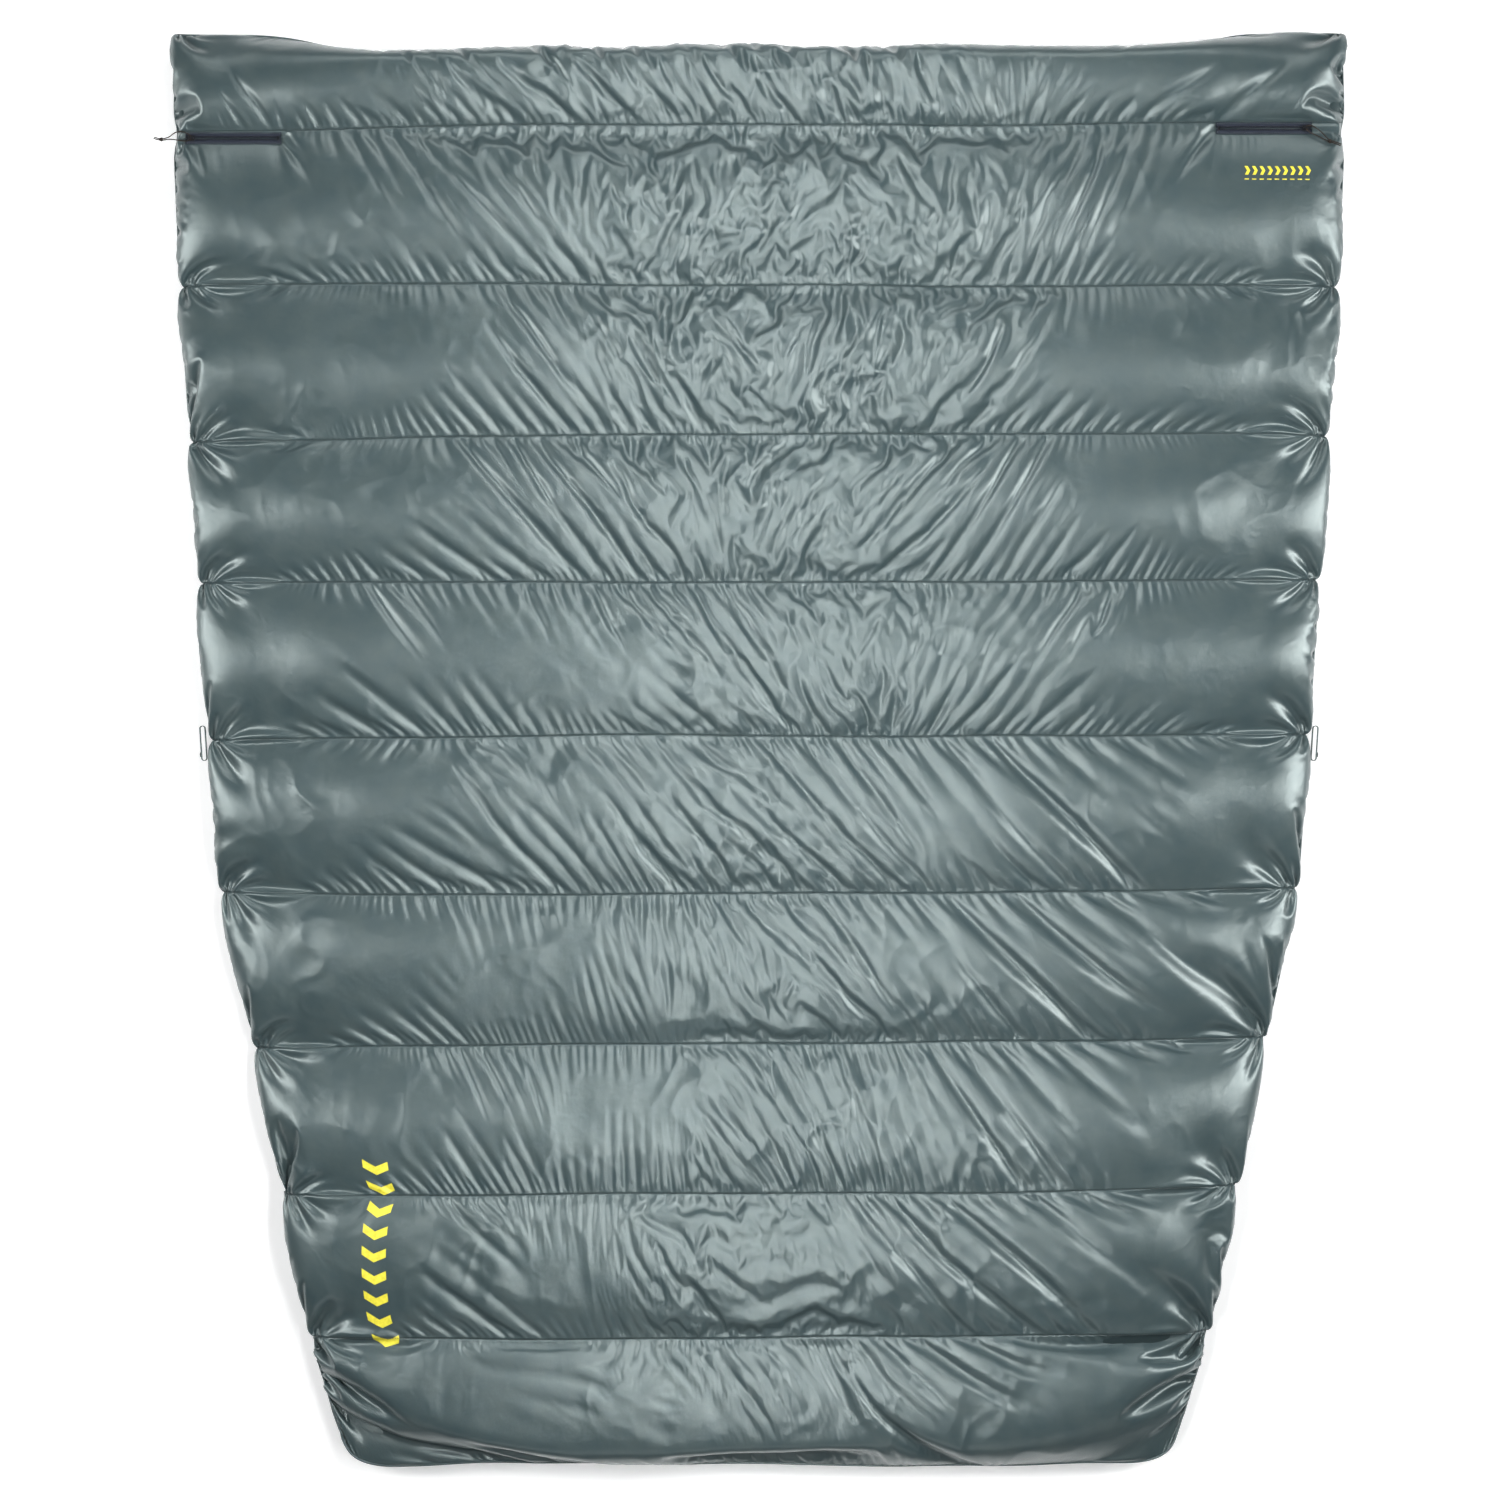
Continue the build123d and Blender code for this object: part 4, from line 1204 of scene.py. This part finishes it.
low, high, centre = corners("care_label")
ys = np.linspace(low[1], high[1], 40)
lift = 0.0006 * np.sin((ys - low[1]) / (high[1] - low[1]) * math.pi * 1.5)
path = np.stack([0 * ys + centre[0], ys, low[2] + 0.0008 + lift], axis=-1)
satin = sweep(path, ribbon_outline(0.0004, high[0] - low[0]))
build("care_label_satin", [satin], SATIN, "label_satin", "care_label")

# ---- prints: plain chevrons where the fabric carries marks ----

PRINT_LIFT = 0.0004
NEAR = 20  # grid steps each way, over which the cloth's coordinates are measured
CHEVRON_GRID, DASH_GRID = (25, 7), (4, 9)


def on_shell(x, y, turn, across, along_it):
    """Points of the fabric's surface: a flat mark laid at the grid point nearest (x, y), sizes in metres."""
    near = int(np.argmin(np.abs(shell.y[:, 0] - y)))
    column = int(np.argmin(np.abs(shell_points[0, near] - x)))
    row = int(np.argmin(np.abs(shell_points[1, :, column] - y)))
    du = (shell_u[row, column + NEAR] - shell_u[row, column - NEAR]) / (2 * NEAR)
    dv = (shell_v[row + NEAR, column] - shell_v[row - NEAR, column]) / (2 * NEAR)
    c, s = math.cos(turn), math.sin(turn)
    i = column + (across * c - along_it * s) / du
    j = row + (across * s + along_it * c) / dv
    i0, j0 = np.floor(i).astype(int), np.floor(j).astype(int)
    fi, fj = i - i0, j - j0
    skin = shell_points + normals(shell_points) * np.float32(PRINT_LIFT)
    out = 0
    for dj, wj in ((0, 1 - fj), (1, fj)):
        for di, wi in ((0, 1 - fi), (1, fi)):
            out = out + skin[:, j0 + dj, i0 + di] * (wi * wj)
    return out.reshape(3, -1).T


def mark(place, across, along_it, grid):
    """One printed mark, as a band of quads."""
    return on_shell(*place, *np.broadcast_arrays(across, along_it)), [grid_faces(*grid)[:, ::-1]]


def chevrons(name, place, count, step, half, thick, dashes=None):
    """A row of chevrons printed along the fabric, and beside it a row of dashes."""
    parts = []
    places = [(n - (count - 1) / 2) * step for n in range(count)]
    across = np.linspace(-half, half, CHEVRON_GRID[0])[:, None]
    band = np.linspace(-thick / 2, thick / 2, CHEVRON_GRID[1])[None, :]
    for at in places:
        parts.append(mark(place, across, at + band + (half - np.abs(across)) * 0.55, CHEVRON_GRID))
    if dashes is not None:
        offset, size = dashes
        across = offset + np.linspace(-size / 4, size / 4, DASH_GRID[0])[:, None]
        band = np.linspace(-size, size, DASH_GRID[1])[None, :]
        for at in places:
            parts.append(mark(place, across, at + band, DASH_GRID))
    build(name, parts, INK, "shell_fabric")


chevrons("print_foot_left", (-0.534, -0.700, math.radians(7)), 9, 0.0310, 0.0165, 0.0120)
chevrons("print_head_right", (0.7225, 0.806, math.radians(-89)), 9, 0.0105, 0.0062, 0.0044, (-0.0125, 0.0030))

# ---- light and floor ----


def softbox(name, at, size, power, towards=(0, 0, 0.05)):
    light = bpy.data.lights.new(name, "AREA")
    light.shape = "RECTANGLE"
    light.size, light.size_y = size
    light.energy = power
    holder = put(name, light)
    holder.location = at
    holder.rotation_mode = "QUATERNION"
    holder.rotation_quaternion = (Vector(towards) - Vector(at)).to_track_quat("-Z", "Y")
    holder.visible_camera = False


softbox("softbox_above", (0.02, 0.15, 1.25), (0.10, 2.8), 27, (0.02, 0.10, 0))
softbox("softbox_left", (-2.6, 0.4, 1.9), (0.45, 3.2), 76)
softbox("softbox_right", (2.6, 0.4, 1.9), (0.45, 3.2), 100)
softbox("softbox_head", (0, 3.3, 1.9), (2.8, 0.5), 28)
softbox("softbox_foot", (0, -3.3, 1.9), (2.8, 0.5), 7)

PAPER = plain("floor_paper", (0.93, 0.93, 0.93), (0.95, 0.95, 0.95), 0.9, grain=40.0, depth=0.00002,
              Emission_Color=(1, 1, 1, 1), Emission_Strength=0.30)
floor = mesh_object("floor", [(-9, -9, 0), (9, -9, 0), (9, 9, 0), (-9, 9, 0)], [[(0, 1, 2, 3)]], PAPER)
floor.location.z = -0.0006

world = bpy.data.worlds.new("studio")
world.use_nodes = True
backdrop = world.node_tree.nodes["Background"].inputs
backdrop["Color"].default_value = (0.93, 0.96, 1.0, 1)
backdrop["Strength"].default_value = 0.05
bpy.context.scene.world = world
bpy.context.scene.view_settings.view_transform = "Standard"
